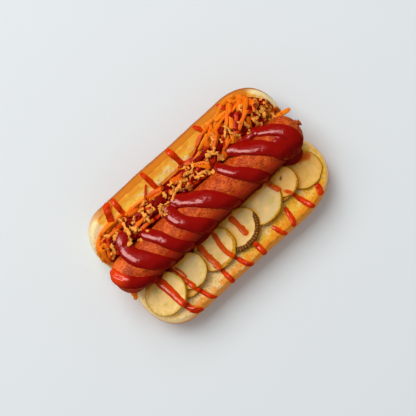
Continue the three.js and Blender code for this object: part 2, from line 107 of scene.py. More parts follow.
class BunSettings(bpy.types.PropertyGroup):
    middle: length_prop("Middle", "Where the middle of the bun lies along the sausage", node_middle("bun", 0))
    reach: length_prop("Half length", "Half the length of the bun with its crust", node_reach("bun", 0))
    fold_height: length_prop("Fold height", "Crust and crumb below the fold", 0.012)
    fold_overlap: length_prop("Fold overlap", "How far each half runs past the fold", 0.005)
    crust_bulge: length_prop("Crust bulge", "How far the crust stands out past the cut face", 0.003)
    bulge_depth: length_prop("Bulge depth", "How deep below the cut face the bun is widest", 0.007)
    depth: length_prop("Depth", "From the cut face down to the middle of the crust", 0.019)
    carrot_tilt: angle_prop("Carrot half tilt", "How steeply the half with the carrot rises", 26)
    carrot_width: length_prop("Carrot half width", "Width of its cut face", 0.0485)
    pickle_tilt: angle_prop("Pickle half tilt", "How steeply the half with the pickles rises", 14)
    pickle_width: length_prop("Pickle half width", "Width of its cut face", 0.0495)
    # Painted light: the crumb gives off light of its own colour, to brighten cut faces that the lamps light
    # too little.
    glow: amount_prop("Glow", "Light that has soaked through the crumb", 0.13)
    skin_step: length_prop("Skin step", "Mesh size of the bun's skin", 0.0009)
    crust: colour_prop("Crust", "Baked crust", 0.62, 0.176, 0.008)
    # Partly the pickle half's paler crust, partly painted light that lifts this crust, which faces away from
    # the window.
    crust_pale: colour_prop("Pale crust", "Crust of the pickle half, which is baked less", 1.0, 0.34, 0.045)
    crust_dark: colour_prop("Dark crust", "The crust where it baked darkest", 0.46, 0.125, 0.02)
    # The golden crust is the rim's own colour, painted only where the rim turns away from the window, as
    # painted light on its shaded side.
    crust_golden: colour_prop("Golden crust", "Smooth rim of the carrot half's cut face", 1.0, 0.38, 0.032)
    juice: colour_prop("Juice", "Crumb that has soaked up sauce and juice beside the heap", 0.84, 0.22, 0.010)
    toast: colour_prop("Toast", "Toasted rim and spots of the cut face", 0.95, 0.35, 0.02)
    butter: colour_prop("Butter", "Golden, buttered crumb", 1.0, 0.63, 0.07)
    crumb: colour_prop("Crumb", "Pale crumb of the cut face", 1.0, 0.80, 0.42)
    # Painted shade: it tones down the crumb of the pickle half, which faces the window and is brighter for
    # it.
    shade: colour_prop("Shade", "What the crumb of the pickle half is toned down by", 0.85, 0.74, 0.58)


class SausageSettings(bpy.types.PropertyGroup):
    radius: length_prop("Radius", "Radius of the sausage", 0.0144)
    left: length_prop("Left end", "Where the sausage begins along X", -0.0845)
    right: length_prop("Right end", "Where it ends along X", 0.085)
    left_end: length_prop("Left rounding", "Length of its rounded left end", 0.015)
    right_end: length_prop("Right rounding", "Length of its rounded right end", 0.013)
    across: length_prop("Across", "Y of its axis", 0.001)
    height: length_prop("Height", "Z of its axis", 0.0295)
    skin: colour_prop("Skin", "Smoked skin of the sausage", 0.60, 0.070, 0.005)
    skin_light: colour_prop("Light skin", "Raised grains of the skin", 0.82, 0.145, 0.017)
    skin_dark: colour_prop("Dark skin", "Skin in its folds and pores", 0.27, 0.016, 0.0012)
    # Painted shade: the lower flank, which lies away from the lamps, is darkened and reddened with it.
    stained: colour_prop("Stained skin", "The lower flank, where juice ran down", 0.64, 0.030, 0.0025)


class KetchupSettings(bpy.types.PropertyGroup):
    band_half_width: length_prop("Band half width", "Half the width of the thick zigzag", 0.0050)
    band_half_height: length_prop("Band height", "Half the thickness of the thick zigzag", 0.0034)
    band_sink: length_prop("Band sink", "How far the thick zigzag is sunk into what it lies on", 0.0006)
    thick: colour_prop("Thick ketchup", "Colour where it lies thick", 0.31, 0.0025, 0.0008)
    # Deep ketchup is dark, thick sauce; on the thick bands it is also painted shade towards the sausage's
    # underside.
    deep: colour_prop("Deep ketchup", "Where it has gathered too thick for light", 0.21, 0.0014, 0.0004)
    thin: colour_prop("Thin ketchup", "Colour where it is thin", 0.76, 0.044, 0.002)
    film: colour_prop("Film", "Colour where it is a mere film", 0.60, 0.066, 0.0002)
    edge: colour_prop("Edge", "Colour of a thin edge that the crumb shines through", 0.82, 0.19, 0.012)
    seed: count_prop("Seed", "Which random unevenness the sauce has", 4)


class PickleSettings(bpy.types.PropertyGroup):
    flesh: colour_prop("Flesh", "Pale flesh of a slice", 0.94, 0.62, 0.22)
    flesh_dull: colour_prop("Dull flesh", "Flesh that is more see-through", 0.71, 0.49, 0.205)
    flesh_green: colour_prop("Green flesh", "Yellower, greener flesh", 0.60, 0.46, 0.085)
    flesh_gold: colour_prop("Golden flesh", "Flesh that has soaked up sauce", 0.80, 0.42, 0.08)
    # This colour is partly juice and partly painted shade, round the slices that lie on a slice and beside
    # the sausage.
    brine: colour_prop("Brine", "Golden brown juice that has gathered between the slices", 0.90, 0.40, 0.03)
    # The dark juice is painted shade close under the sausage.
    dark: colour_prop("Dark juice", "Dark juice below the sausage", 0.32, 0.07, 0.003)
    skin: colour_prop("Skin", "Dark skin round a slice", 0.12, 0.030, 0.0010)
    skin_pale: colour_prop("Pale skin", "The skin's lighter ridges and inner edge", 0.66, 0.30, 0.005)


class HeapSettings(bpy.types.PropertyGroup):
    shreds: count_prop("Shreds", "How many loose shreds are strewn first", 210)
    shred_width: length_prop("Shred width", "Width of a carrot shred", 0.0027)
    shred_thickness: length_prop("Shred thickness", "Thickness of a carrot shred", 0.0014)
    flakes: count_prop("Flakes", "How many small flakes are strewn first", 120)
    seed: count_prop("Seed", "Which random heap is laid", 7)
    carrot: colour_prop("Carrot", "Raw carrot", 0.86, 0.15, 0.002)
    carrot_pale: colour_prop("Pale carrot", "The lighter core of the carrot", 0.92, 0.23, 0.006)
    onion: colour_prop("Onion", "Fried onion", 1.0, 0.40, 0.062)
    onion_brown: colour_prop("Brown onion", "Fried onion where it is darkest", 0.50, 0.11, 0.004)


class StageSettings(bpy.types.PropertyGroup):
    floor: colour_prop("Floor", "The pale floor", 0.78, 0.825, 0.84)
    turn: angle_prop("Turn", "How the picture is turned round the vertical", -42)
    camera_height: length_prop("Camera height", "Height of the camera above the floor", 0.92)
    window_height: angle_prop("Window height", "How high the soft window light stands above the floor", 51)
    window_distance: length_prop("Window distance", "How far away the lamps are", 3.2)
    window_width: length_prop("Window width", "How wide the window light is", 2.6)
    window_tall: length_prop("Window size", "How high the window light is", 2.3)
    window_light: amount_prop("Window light", "Its light on the floor", 0.70)
    sheen_height: angle_prop("Sheen height", "How high the lamp stands that wet surfaces mirror", 41)
    sheen_width: length_prop("Sheen width", "How wide that lamp is", 1.7)
    sheen_tall: length_prop("Sheen size", "How high that lamp is", 3.6)
    sheen_light: amount_prop("Sheen", "How bright wet surfaces see that lamp", 12.0)
    room_light: amount_prop("Room light", "Even light from all round", 0.36)
    view_width: length_prop("View width", "What the picture is wide at the height of the sausage", 0.2912)


class HotDogSettings(bpy.types.PropertyGroup):
    bun: PointerProperty(type=BunSettings)
    sausage: PointerProperty(type=SausageSettings)
    ketchup: PointerProperty(type=KetchupSettings)
    pickle: PointerProperty(type=PickleSettings)
    heap: PointerProperty(type=HeapSettings)
    stage: PointerProperty(type=StageSettings)


def settings():
    return bpy.context.scene.hot_dog


# ---------- finishes ----------

MIX_SHARE, MIX_FIRST, MIX_SECOND, MIX_RESULT = 0, 6, 7, 2  # the sockets of a Mix node for colours


class Number:
    """A number socket, on which Python's operators add Math nodes."""

    def __init__(self, nodes, socket):
        self.nodes = nodes
        self.socket = socket

    def _math(self, operation, *values):
        return self.nodes.number("ShaderNodeMath", {"operation": operation}, dict(enumerate(values)))

    def __add__(self, other):
        return self._math("ADD", self, other)

    __radd__ = __add__

    def __sub__(self, other):
        return self._math("SUBTRACT", self, other)

    def __rsub__(self, other):
        return self._math("SUBTRACT", other, self)

    def __mul__(self, other):
        return self._math("MULTIPLY", self, other)

    __rmul__ = __mul__

    def sway(self, reach):
        """A number from 0 to 1 as a swing about 0, over the reach in all."""
        return (self - 0.5) * reach

    def step(self, low, high):
        """Eases from 0 at low to 1 at high."""
        sockets = {"Value": self, "From Min": low, "From Max": high}
        return self.nodes.number("ShaderNodeMapRange", {"interpolation_type": "SMOOTHSTEP"}, sockets)


class Nodes:
    """The nodes round one shader of a material or a world, with one method that adds any node."""

    def __init__(self, owner, shader):
        owner.use_nodes = True
        self.tree = owner.node_tree
        self.shader = self.tree.nodes[shader]

    def set(self, socket, value):
        """Puts a value or a link on one of the shader's sockets."""
        self._fill(self.shader.inputs[socket], value)

    def _fill(self, target, value):
        if isinstance(value, Number):
            self.tree.links.new(value.socket, target)
        elif isinstance(value, bpy.types.NodeSocket):
            self.tree.links.new(value, target)
        elif target.type == "RGBA":
            target.default_value = (*value, 1) if len(value) == 3 else value
        else:
            target.default_value = value

    def node(self, kind, options=None, sockets=None, out=0):
        """Adds a node: its options first, then its sockets by name or place. Returns an output socket."""
        made = self.tree.nodes.new(kind)
        for option, value in (options or {}).items():
            setattr(made, option, value)
        for socket, value in (sockets or {}).items():
            self._fill(made.inputs[socket], value)
        return made.outputs[out]

    def number(self, kind, options=None, sockets=None, out=0):
        return Number(self, self.node(kind, options, sockets, out))

    def mix(self, share, first, second, blend="MIX"):
        """Colours from first to second as share goes from 0 to 1."""
        options = {"data_type": "RGBA", "blend_type": blend, "clamp_factor": True}
        sockets = {MIX_SHARE: share, MIX_FIRST: first, MIX_SECOND: second}
        return self.node("ShaderNodeMix", options, sockets, out=MIX_RESULT)

    def layered(self, base, *layers):
        """A base colour under layers of a share and a colour each, and of how they blend if not plainly."""
        for share, over, *blend in layers:
            base = self.mix(share, base, over, *blend)
        return base


class Finish(Nodes):
    """A material under construction."""

    def __init__(self, name, **surface):
        self.material = bpy.data.materials.new(name)
        super().__init__(self.material, "Principled BSDF")
        for socket, value in surface.items():
            self.set(socket.replace("_", " ").title().replace("Ior", "IOR"), value)

    def place(self):
        return self.node("ShaderNodeTexCoord", out="Object")

    def stretched(self, x, y, z):
        """Places in the object, stretched along each axis."""
        return self.node("ShaderNodeMapping", None, {"Vector": self.place(), "Scale": (x, y, z)})

    def noise(self, size, detail=2.0, roughness=0.5, vector=None, distortion=0.0):
        """Soft noise from 0 to 1 with features about `size` metres wide."""
        sockets = {
            "Vector": vector or self.place(),
            "Scale": 1 / size,
            "Detail": detail,
            "Roughness": roughness,
            "Distortion": distortion,
        }
        return self.number("ShaderNodeTexNoise", None, sockets)

    def cells(self, size):
        """Distance to scattered points about `size` metres apart, in shares of that size."""
        sockets = {"Vector": self.place(), "Scale": 1 / size}
        return self.number("ShaderNodeTexVoronoi", None, sockets, out="Distance")

    def painted(self, name):
        """A number that was painted on the mesh."""
        return self.number("ShaderNodeAttribute", {"attribute_name": name}, out="Fac")

    def all_painted(self, names):
        return [self.painted(name) for name in names.split()]

    def bump(self, height, distance, strength=1.0):
        """Relief in metres from a height of 0 to 1."""
        sockets = {"Height": height, "Distance": distance, "Strength": strength}
        self.set("Normal", self.node("ShaderNodeBump", None, sockets))


def bun_finish():
    s = settings().bun
    finish = Finish("bun", roughness=0.5, specular_ior_level=0.05)
    cut, rim, lip, pale = finish.all_painted("cut rim lip pale")
    baked, golden, juicy, shaded = finish.all_painted("baked golden juicy shaded")
    fine = finish.noise(0.0009, detail=4, roughness=0.65)
    mottle = finish.noise(0.0045, detail=3)
    blotch = finish.noise(0.006, detail=2)
    broad = finish.noise(0.014, detail=2)
    pores = finish.cells(0.0019).step(0.05, 0.34)
    holes = finish.cells(0.0013).step(0.08, 0.3)
    # On the pickle half the crust browns less and turns paler: partly its own colour, partly painted light
    # where it faces away from the window.
    browned = baked - shaded * 0.65 + mottle.sway(0.35) + broad.sway(0.4)
    gilded = lip + mottle.sway(1.2) + broad.sway(0.7)
    crust = finish.layered(
        finish.mix(shaded, s.crust, s.crust_pale),
        (browned.step(0.1, 0.95), s.crust_dark),
        (gilded.step(0.1, 0.95) * (1 - shaded), s.crust_golden),
        ((blotch + mottle.sway(0.6)).step(0.46, 0.7) * lip * 0.8, s.butter),
        (pale, s.crumb),
    )
    buttered = golden * 0.9 + broad.sway(1.1) + mottle.sway(1.2) - pale * (0.7 - shaded * 0.5)
    toasted = mottle.sway(1.7) + fine.sway(0.9) + rim * 0.6 + golden * 0.1 - pale * 0.5
    seared = finish.noise(0.0055, detail=3, distortion=0.8) + rim * 0.1 - pale * 0.3
    full = 1 - pale * 0.8
    crumb = finish.layered(
        s.crumb,
        (buttered.step(0.05, 0.75), s.butter),
        (toasted.step(0.2, 0.9), s.toast),
        ((blotch - rim * 0.3).step(0.46, 0.66) * 0.8, s.crumb),
        (seared.step(0.52, 0.68) * 0.7, s.toast),
        ((juicy + fine.sway(0.4)).step(0.1, 0.9) * 0.9, s.juice),
        # Painted shade: the crumb of the pickle half is multiplied by the shade, less on its pale ends.
        (shaded * full, s.shade, "MULTIPLY"),
        ((1 - pores) * 0.5, s.toast),
        (((1 - pores) * 0.4 + (1 - holes) * 0.5) * shaded, s.crust_dark),
    )
    surface = finish.mix(cut, crust, crumb)
    # Painted light: the carrot half's crumb and golden rim, and the pale ends of the pickle half, give off
    # light of their own colour where the lamps light them too little.
    lit = (cut + lip * (1 - cut) * 0.6) * (1 - shaded) * full + shaded * pale * 0.8
    finish.set("Base Color", surface)
    finish.set("Emission Color", finish.mix(lit, (0, 0, 0), surface))
    finish.set("Emission Strength", s.glow)
    finish.set("Roughness", 0.42 + cut * 0.25 + fine.sway(0.2))
    relief = (fine * 0.6 + pores * 0.9) * cut + (1 - cut) * (fine * 0.12 + mottle * 0.4)
    finish.bump(relief, 0.0007, 0.6)
    return finish.material


def sausage_finish():
    s = settings().sausage
    finish = Finish("sausage", roughness=0.4, specular_ior_level=0.11)
    smooth, flank, dry, under = finish.all_painted("smooth flank dry under")
    along = finish.stretched(0.75, 1, 1)
    dots = finish.noise(0.0009, detail=2, roughness=0.6, vector=along)
    grains = finish.noise(0.0013, detail=3, roughness=0.65, vector=along, distortion=0.4)
    mottle = finish.noise(0.0045, detail=3, distortion=0.5)
    cracks = finish.noise(0.0017, detail=3, distortion=1.5)
    shade = mottle.sway(0.7)
    skin = finish.layered(
        s.skin,
        ((grains + shade * 0.7 + smooth * 0.2).step(0.46, 0.70), s.skin_light),
        ((dots - shade * 0.8 - smooth * 0.15).step(0.45, 0.64) * 0.8, s.skin_dark),
    )
    # Painted shade: the lower flank is darkened with the flank shade and the underside with the dark skin;
    # the dry end is the casing's own colour.
    skin = finish.layered(
        skin,
        ((flank + mottle.sway(0.8)).step(0.1, 1.0), finish.mix(0.35, s.stained, skin, "MULTIPLY")),
        (dry * 0.8, finish.mix(cracks.step(0.4, 0.6), s.skin_dark, s.skin_light)),
        (under, s.skin_dark),
    )
    finish.set("Base Color", skin)
    finish.set("Roughness", 0.3 + dots * 0.25)
    finish.bump(grains * 0.8 + mottle * 0.3 - dots * 0.7, 0.0007, 0.7)
    return finish.material


def casing_finish():
    """The dry, twisted end of the sausage's casing."""
    s = settings().sausage
    finish = Finish("casing", roughness=0.45, specular_ior_level=0.11)
    wrinkles = finish.noise(0.0012, detail=4, roughness=0.7, distortion=1.0)
    finish.set("Base Color", finish.mix(wrinkles.step(0.3, 0.7), s.skin_dark, s.skin_light))
    finish.bump(wrinkles, 0.0008, 0.8)
    return finish.material


def thick_ketchup_finish():
    s = settings().ketchup
    finish = Finish("ketchup_thick", roughness=0.2, specular_ior_level=0.4)
    thin, deep = finish.all_painted("thin deep")
    body = finish.noise(0.006, detail=3)
    fine = finish.noise(0.0016, detail=3)
    sauce = finish.layered(
        s.thick,
        ((thin + body.sway(0.3)).step(0.1, 0.9), s.thin),
        # Painted shade: the bands turn to deep ketchup towards the sausage's underside.
        ((deep + body.sway(0.4)).step(0.1, 1.0), s.deep),
    )
    finish.set("Base Color", sauce)
    finish.set("Roughness", 0.12 + fine * 0.14)
    finish.bump(body * 0.7 + fine * 0.35, 0.0007, 0.5)
    return finish.material


def gathered_ketchup_finish():
    """Ketchup and juice that ran together below the sausage."""
    s = settings().ketchup
    finish = Finish("ketchup_gathered", roughness=0.3, specular_ior_level=0.15)
    fine = finish.noise(0.0016, detail=3)
    finish.set("Base Color", finish.mix(fine.step(0.35, 0.7), s.deep, s.thick))
    finish.set("Roughness", 0.22 + fine * 0.2)
    finish.bump(fine, 0.0006, 0.6)
    return finish.material


def thin_ketchup_finish(name):
    s = settings().ketchup
    finish = Finish(name, roughness=0.3, specular_ior_level=0.02, coat_roughness=0.1)
    film, edge, wet = finish.all_painted("film edge wet")
    body = finish.noise(0.004, detail=3)
    fine = finish.noise(0.0012, detail=3)
    red = finish.layered(
        s.thin,
        ((body + fine.sway(0.5)).step(0.35, 0.85), s.thick),
        ((film + fine.sway(0.5) + body.sway(0.6)).step(0.1, 0.9), s.film),
        ((edge + fine.sway(0.6) + body.sway(0.8)).step(0.45, 1.05), s.edge),
    )
    finish.set("Base Color", red)
    finish.set("Coat Weight", wet * (0.3 + body * 0.7))
    finish.bump(body + fine * 0.5, 0.0004, 0.5)
    return finish.material


def pickle_finish():
    s, ketchup = settings().pickle, settings().ketchup
    soft = {"subsurface_weight": 0.15, "subsurface_scale": 0.0012}
    finish = Finish("pickle", roughness=0.3, specular_ior_level=0.04, **soft)
    rim, rind, striped, angle, seed = finish.all_painted("rim rind striped angle seed")
    ray, gold, pale, juice, sauce = finish.all_painted("ray gold pale juice sauce")
    cloud = finish.noise(0.0075, detail=2)
    wisps = finish.noise(0.005, detail=2, distortion=0.6)
    spots = finish.noise(0.0026, detail=2)
    fine = finish.noise(0.0011, detail=3)
    wave = finish.number("ShaderNodeMath", {"operation": "SINE"}, {0: angle * STRIPES})
    ridge = (1 - striped) * 0.75 + striped * (0.25 + wave * 0.4)
    # Partly juice, partly painted shade beside the sausage and where slices overlap; darkest close under the
    # sausage.
    gathered = juice + spots.sway(0.3)
    surface = finish.layered(
        s.flesh_dull,
        ((pale + cloud.sway(2.4) + spots.sway(0.7)).step(0.0, 1.0), s.flesh),
        (((wisps - 0.4) * 2.2 + rim * 0.5 + ray * 0.2).step(0.1, 1.1), s.flesh_green),
        ((gold + spots.sway(0.9)).step(0.1, 1.1), s.flesh_gold),
        ((rim + spots.sway(0.7) + fine.sway(0.5)).step(0.45, 1.0) * 0.6, s.skin_pale),
        (gathered.step(0.1, 0.8) * 0.85, s.brine),
        (gathered.step(0.75, 1.05), s.dark),
    )
    skin = finish.mix((ridge + fine.sway(0.8)).step(0.45, 0.85), s.skin, s.skin_pale)
    film = finish.mix(sauce.step(0.5, 1.0), ketchup.edge, ketchup.film)
    surface = finish.layered(
        surface,
        ((rind + fine.sway(0.7) * rim).step(0.35, 0.75), skin),
        (seed, s.skin),
        ((sauce * (0.7 + fine * 0.6)).step(0.0, 0.7), film),
    )
    finish.set("Base Color", surface)
    finish.set("Roughness", 0.2 + fine * 0.2)
    drops = (1 - finish.cells(0.0036).step(0.06, 0.24)) * spots.step(0.48, 0.56)
    finish.bump(cloud * 0.4 + spots * 0.5 + ray * 0.3 + drops * 0.8, 0.0006, 0.5)
    return finish.material


def carrot_finish():
    heap, ketchup = settings().heap, settings().ketchup
    finish = Finish("carrot", roughness=0.36, specular_ior_level=0.07)
    tone, sauce = finish.all_painted("tone sauce")
    fine = finish.noise(0.0012, detail=3)
    patch = finish.noise(0.0035, detail=2)
    stain = finish.mix((patch + fine.sway(0.6)).step(0.42, 0.68), ketchup.thick, ketchup.thin)
    surface = finish.layered(
        heap.carrot,
        ((tone + fine.sway(0.5)).step(0.2, 1.0), heap.carrot_pale),
        ((sauce + fine.sway(0.4) + patch.sway(0.6)).step(0.25, 0.85), stain),
        ((sauce + patch.sway(0.5)).step(1.0, 1.5), ketchup.deep),
    )
    finish.set("Base Color", surface)
    finish.set("Roughness", 0.4 - sauce * 0.2)
    finish.bump(fine, 0.0003, 0.4)
    return finish.material


def sauce_bed_finish(name, relief):
    """The sauce between the shreds, dark and wet, with brown crumbs in it."""
    s = settings().ketchup
    finish = Finish(name, roughness=0.4, specular_ior_level=0.02)
    patches = finish.noise(0.004, detail=4, roughness=0.6)
    fine = finish.noise(0.001, detail=3)
    surface = finish.layered(
        s.deep,
        ((fine + patches.sway(0.6)).step(0.45, 0.75), s.thick),
        ((patches + fine.sway(0.5)).step(0.66, 0.8), settings().heap.onion_brown),
    )
    finish.set("Base Color", surface)
    finish.bump(patches + fine * 0.4, relief, 0.8)
    return finish.material


def onion_finish():
    heap = settings().heap
    finish = Finish("fried_onion", roughness=0.5, specular_ior_level=0.07)
    tone, sauce = finish.all_painted("tone sauce")
    fine = finish.noise(0.001, detail=4, roughness=0.65)
    patch = finish.noise(0.0028, detail=2)
    surface = finish.layered(
        heap.onion,
        ((tone + fine.sway(1.4) + patch.sway(1.3)).step(0.35, 1.1), heap.onion_brown),
        (sauce.step(0.5, 0.8), settings().ketchup.thick),
    )
    finish.set("Base Color", surface)
    finish.set("Roughness", 0.42 + fine * 0.25)
    finish.bump(fine, 0.0005, 0.8)
    return finish.material


# ---------- meshes ----------

UP = np.array([0.0, 0.0, 1.0])
NOISE_STEP = 17.3  # how far apart in the noise two seeds look
SPLINE_STEPS = 24  # between two places of a line
# Large primes that scatter the cells of the noise, and the bits of the result that are kept.
SCATTER_X, SCATTER_Y, SCATTER_Z = 73856093, 19349663, 83492791
SCATTER_SEED, SCATTER_ALL, LOW_BITS = 2654435761, 1274126177, 0xFFFF


def smoothstep(low, high, value):
    """Eases from 0 at low to 1 at high."""
    share = np.clip((value - low) / (high - low), 0, 1)
    return share * share * (3 - 2 * share)


def fade(low, high, value):
    """Eases a length in metres from 0 at low to 1 at high, both in millimetres."""
    return smoothstep(low * MM, high * MM, value)


def grain(points, size, seed):
    """Smooth noise from -1 to 1 at each point, with features about `size` millimetres wide."""
    scaled = np.asarray(points) / (size * MM) + seed * NOISE_STEP
    cell = np.floor(scaled).astype(np.int64)
    share = smoothstep(0, 1, scaled - cell)
    total = np.zeros(len(scaled))
    for corner in product((0, 1), repeat=3):
        x, y, z = (cell + corner).T
        mixed = (x * SCATTER_X) ^ (y * SCATTER_Y) ^ (z * SCATTER_Z) ^ (seed * SCATTER_SEED)
        mixed = (mixed ^ (mixed >> 13)) * SCATTER_ALL
        value = 2 * ((mixed ^ (mixed >> 16)) & LOW_BITS) / LOW_BITS - 1
        total += value * np.prod(np.where(corner, share, 1 - share), axis=1)
    return total


def loft_faces(rings, count, start=0, caps=True):
    """Quads between rings of `count` points each, and a cap on either end."""
    faces = []
    for r in range(rings - 1):
        row = start + r * count
        for i in range(count):
            j = (i + 1) % count
            faces.append((row + i, row + j, row + count + j, row + count + i))
    if caps:
        last = start + (rings - 1) * count
        faces.append(tuple(range(start + count - 1, start - 1, -1)))
        faces.append(tuple(range(last, last + count)))
    return faces


def add_object(name, data):
    made = bpy.data.objects.new(name, data)
    bpy.context.scene.collection.objects.link(made)
    return made


def add_piece(name, points, faces, finish, slot, *nodes):
    """Makes a piece of the hot dog from points in metres, in place of the named solids."""
    mesh = bpy.data.meshes.new(name)
    mesh.from_pydata(np.asarray(points).tolist(), [], faces)
    mesh.update()
    mesh.materials.append(finish)
    mesh.shade_smooth()
    piece = add_object(name, mesh)
    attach(piece, ROOT)
    if nodes:
        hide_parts(*nodes)
    return piece


def vectors_of(piece, key):
    flat = np.empty(len(piece.data.vertices) * 3)
    piece.data.vertices.foreach_get(key, flat)
    return flat.reshape(-1, 3)


def points_of(piece):
    return vectors_of(piece, "co")


def normals_of(piece):
    return vectors_of(piece, "normal")


def move_points(piece, points):
    piece.data.vertices.foreach_set("co", np.asarray(points, float).ravel())
    piece.data.update()


def emboss(piece, relief):
    """Raises a piece's surface by its relief in millimetres, above the floor. Returns the new points."""
    points = points_of(piece) + normals_of(piece) * (relief * MM)[:, None]
    points[:, 2] = np.maximum(points[:, 2], 0)
    move_points(piece, points)
    return points


def paint(piece, **values):
    """Stores numbers on the points of a piece, for its finish to read."""
    total = len(piece.data.vertices)
    for name, value in values.items():
        layer = piece.data.attributes.new(name, "FLOAT", "POINT")
        layer.data.foreach_set("value", np.broadcast_to(value, total).astype(np.float32))


def reskin(piece, step, easing):
    """Gives a piece one even skin round all its shells, and eases it."""
    finish = piece.data.materials[0]
    skin = piece.modifiers.new("skin", "REMESH")
    skin.mode = "VOXEL"
    skin.voxel_size = step
    ease = piece.modifiers.new("ease", "SMOOTH")
    ease.factor = 0.5
    ease.iterations = easing
    dressed = piece.evaluated_get(bpy.context.evaluated_depsgraph_get())
    mesh = bpy.data.meshes.new_from_object(dressed)
    piece.modifiers.clear()
    old = piece.data
    piece.data = mesh
    mesh.name = old.name
    bpy.data.meshes.remove(old)
    mesh.materials.clear()
    mesh.materials.append(finish)
    mesh.shade_smooth()


def unit(vectors):
    return vectors / np.linalg.norm(vectors, axis=-1, keepdims=True)


def run_along(line):
    """How far along a line each of its points is."""
    return np.concatenate([[0], np.cumsum(np.linalg.norm(np.diff(line, axis=0), axis=1))])


def spline(places, count):
    """Points evenly spaced along a smooth line through the places."""
    places = np.asarray(places, float)
    ends = np.vstack([2 * places[0] - places[1], places, 2 * places[-1] - places[-2]])
    t = np.linspace(0, 1, SPLINE_STEPS, endpoint=False)[:, None]
    parts = []
    for a, b, c, d in zip(ends, ends[1:], ends[2:], ends[3:]):
        curve = 2 * b + (c - a) * t + (2 * a - 5 * b + 4 * c - d) * t**2 + (3 * b - a - 3 * c + d) * t**3
        parts.append(0.5 * curve)
    fine = np.vstack([*parts, ends[-2]])
    run = run_along(fine[:, :3])
    even = np.linspace(0, run[-1], count)
    return np.stack([np.interp(even, run, column) for column in fine.T], axis=1)


def flat_line(places, count):
    """A smooth line on the floor through places x, y in millimetres."""
    return spline([(x * MM, y * MM, 0) for x, y in places], count)


def relax(row, times):
    """Smooths a row of numbers or points between its ends, which stay."""
    for _ in range(times):
        row[1:-1] += (row[:-2] + row[2:] - 2 * row[1:-1]) / 4


def ribbon(line, up, half_width, half_height, outline):
    """Rings of points round a line. `up` is where the ribbon's back faces, all along or at each point."""
    along = unit(np.gradient(line, axis=0))
    back = unit(up - along * np.sum(up * along, axis=1, keepdims=True))
    across = np.cross(back, along)
    half_width = np.broadcast_to(half_width, len(line))[:, None, None]
    half_height = np.broadcast_to(half_height, len(line))[:, None, None]
    rings = line[:, None] + across[:, None] * outline[..., 0:1] * half_width
    rings = rings + back[:, None] * outline[..., 1:2] * half_height
    return rings.reshape(-1, 3)


def full_turn(sides):
    return np.linspace(0, 2 * np.pi, sides, endpoint=False)


def oval(sides):
    turn = full_turn(sides)
    return np.stack([np.cos(turn), np.sin(turn)], axis=1)


class Ribbons:
    """Many ribbons gathered into one mesh, with numbers for each of their points."""

    def __init__(self):
        self.points, self.faces, self.paints = [], [], {}
        self.count = 0

    def add(self, line, up, half_width, half_height, outline, **paints):
        """Adds a ribbon. A painted number is one for all, one a ring, or one for each point of each ring."""
        sides = outline.shape[-2]
        self.faces += loft_faces(len(line), sides, self.count)
        self.points.append(ribbon(line, up, half_width, half_height, outline))
        self.count += len(line) * sides
        for name, value in paints.items():
            value = value if np.ndim(value) == 2 else np.reshape(value, (-1, 1))
            self.paints.setdefault(name, []).append(np.broadcast_to(value, (len(line), sides)).ravel())

    def piece(self, name, finish, slot, *nodes):
        made = add_piece(name, np.vstack(self.points), self.faces, finish, slot, *nodes)
        paint(made, **{key: np.concatenate(value) for key, value in self.paints.items()})
        return made


# ---------- the bun ----------

CORNER_POWER = 2.2
SHOULDER_RINGS = 7  # from the cut face out to the widest place
UNDERSIDE_RINGS, UNDERSIDE_TURN = 14, math.radians(84)
UNDERSIDE_INSET = 22 * MM
END_STEPS, SIDE_STEPS = 25, 40  # points of a ring round each end, and along each side
STEEPEST = 1.6  # how far a strand can turn down over the crust, in radians


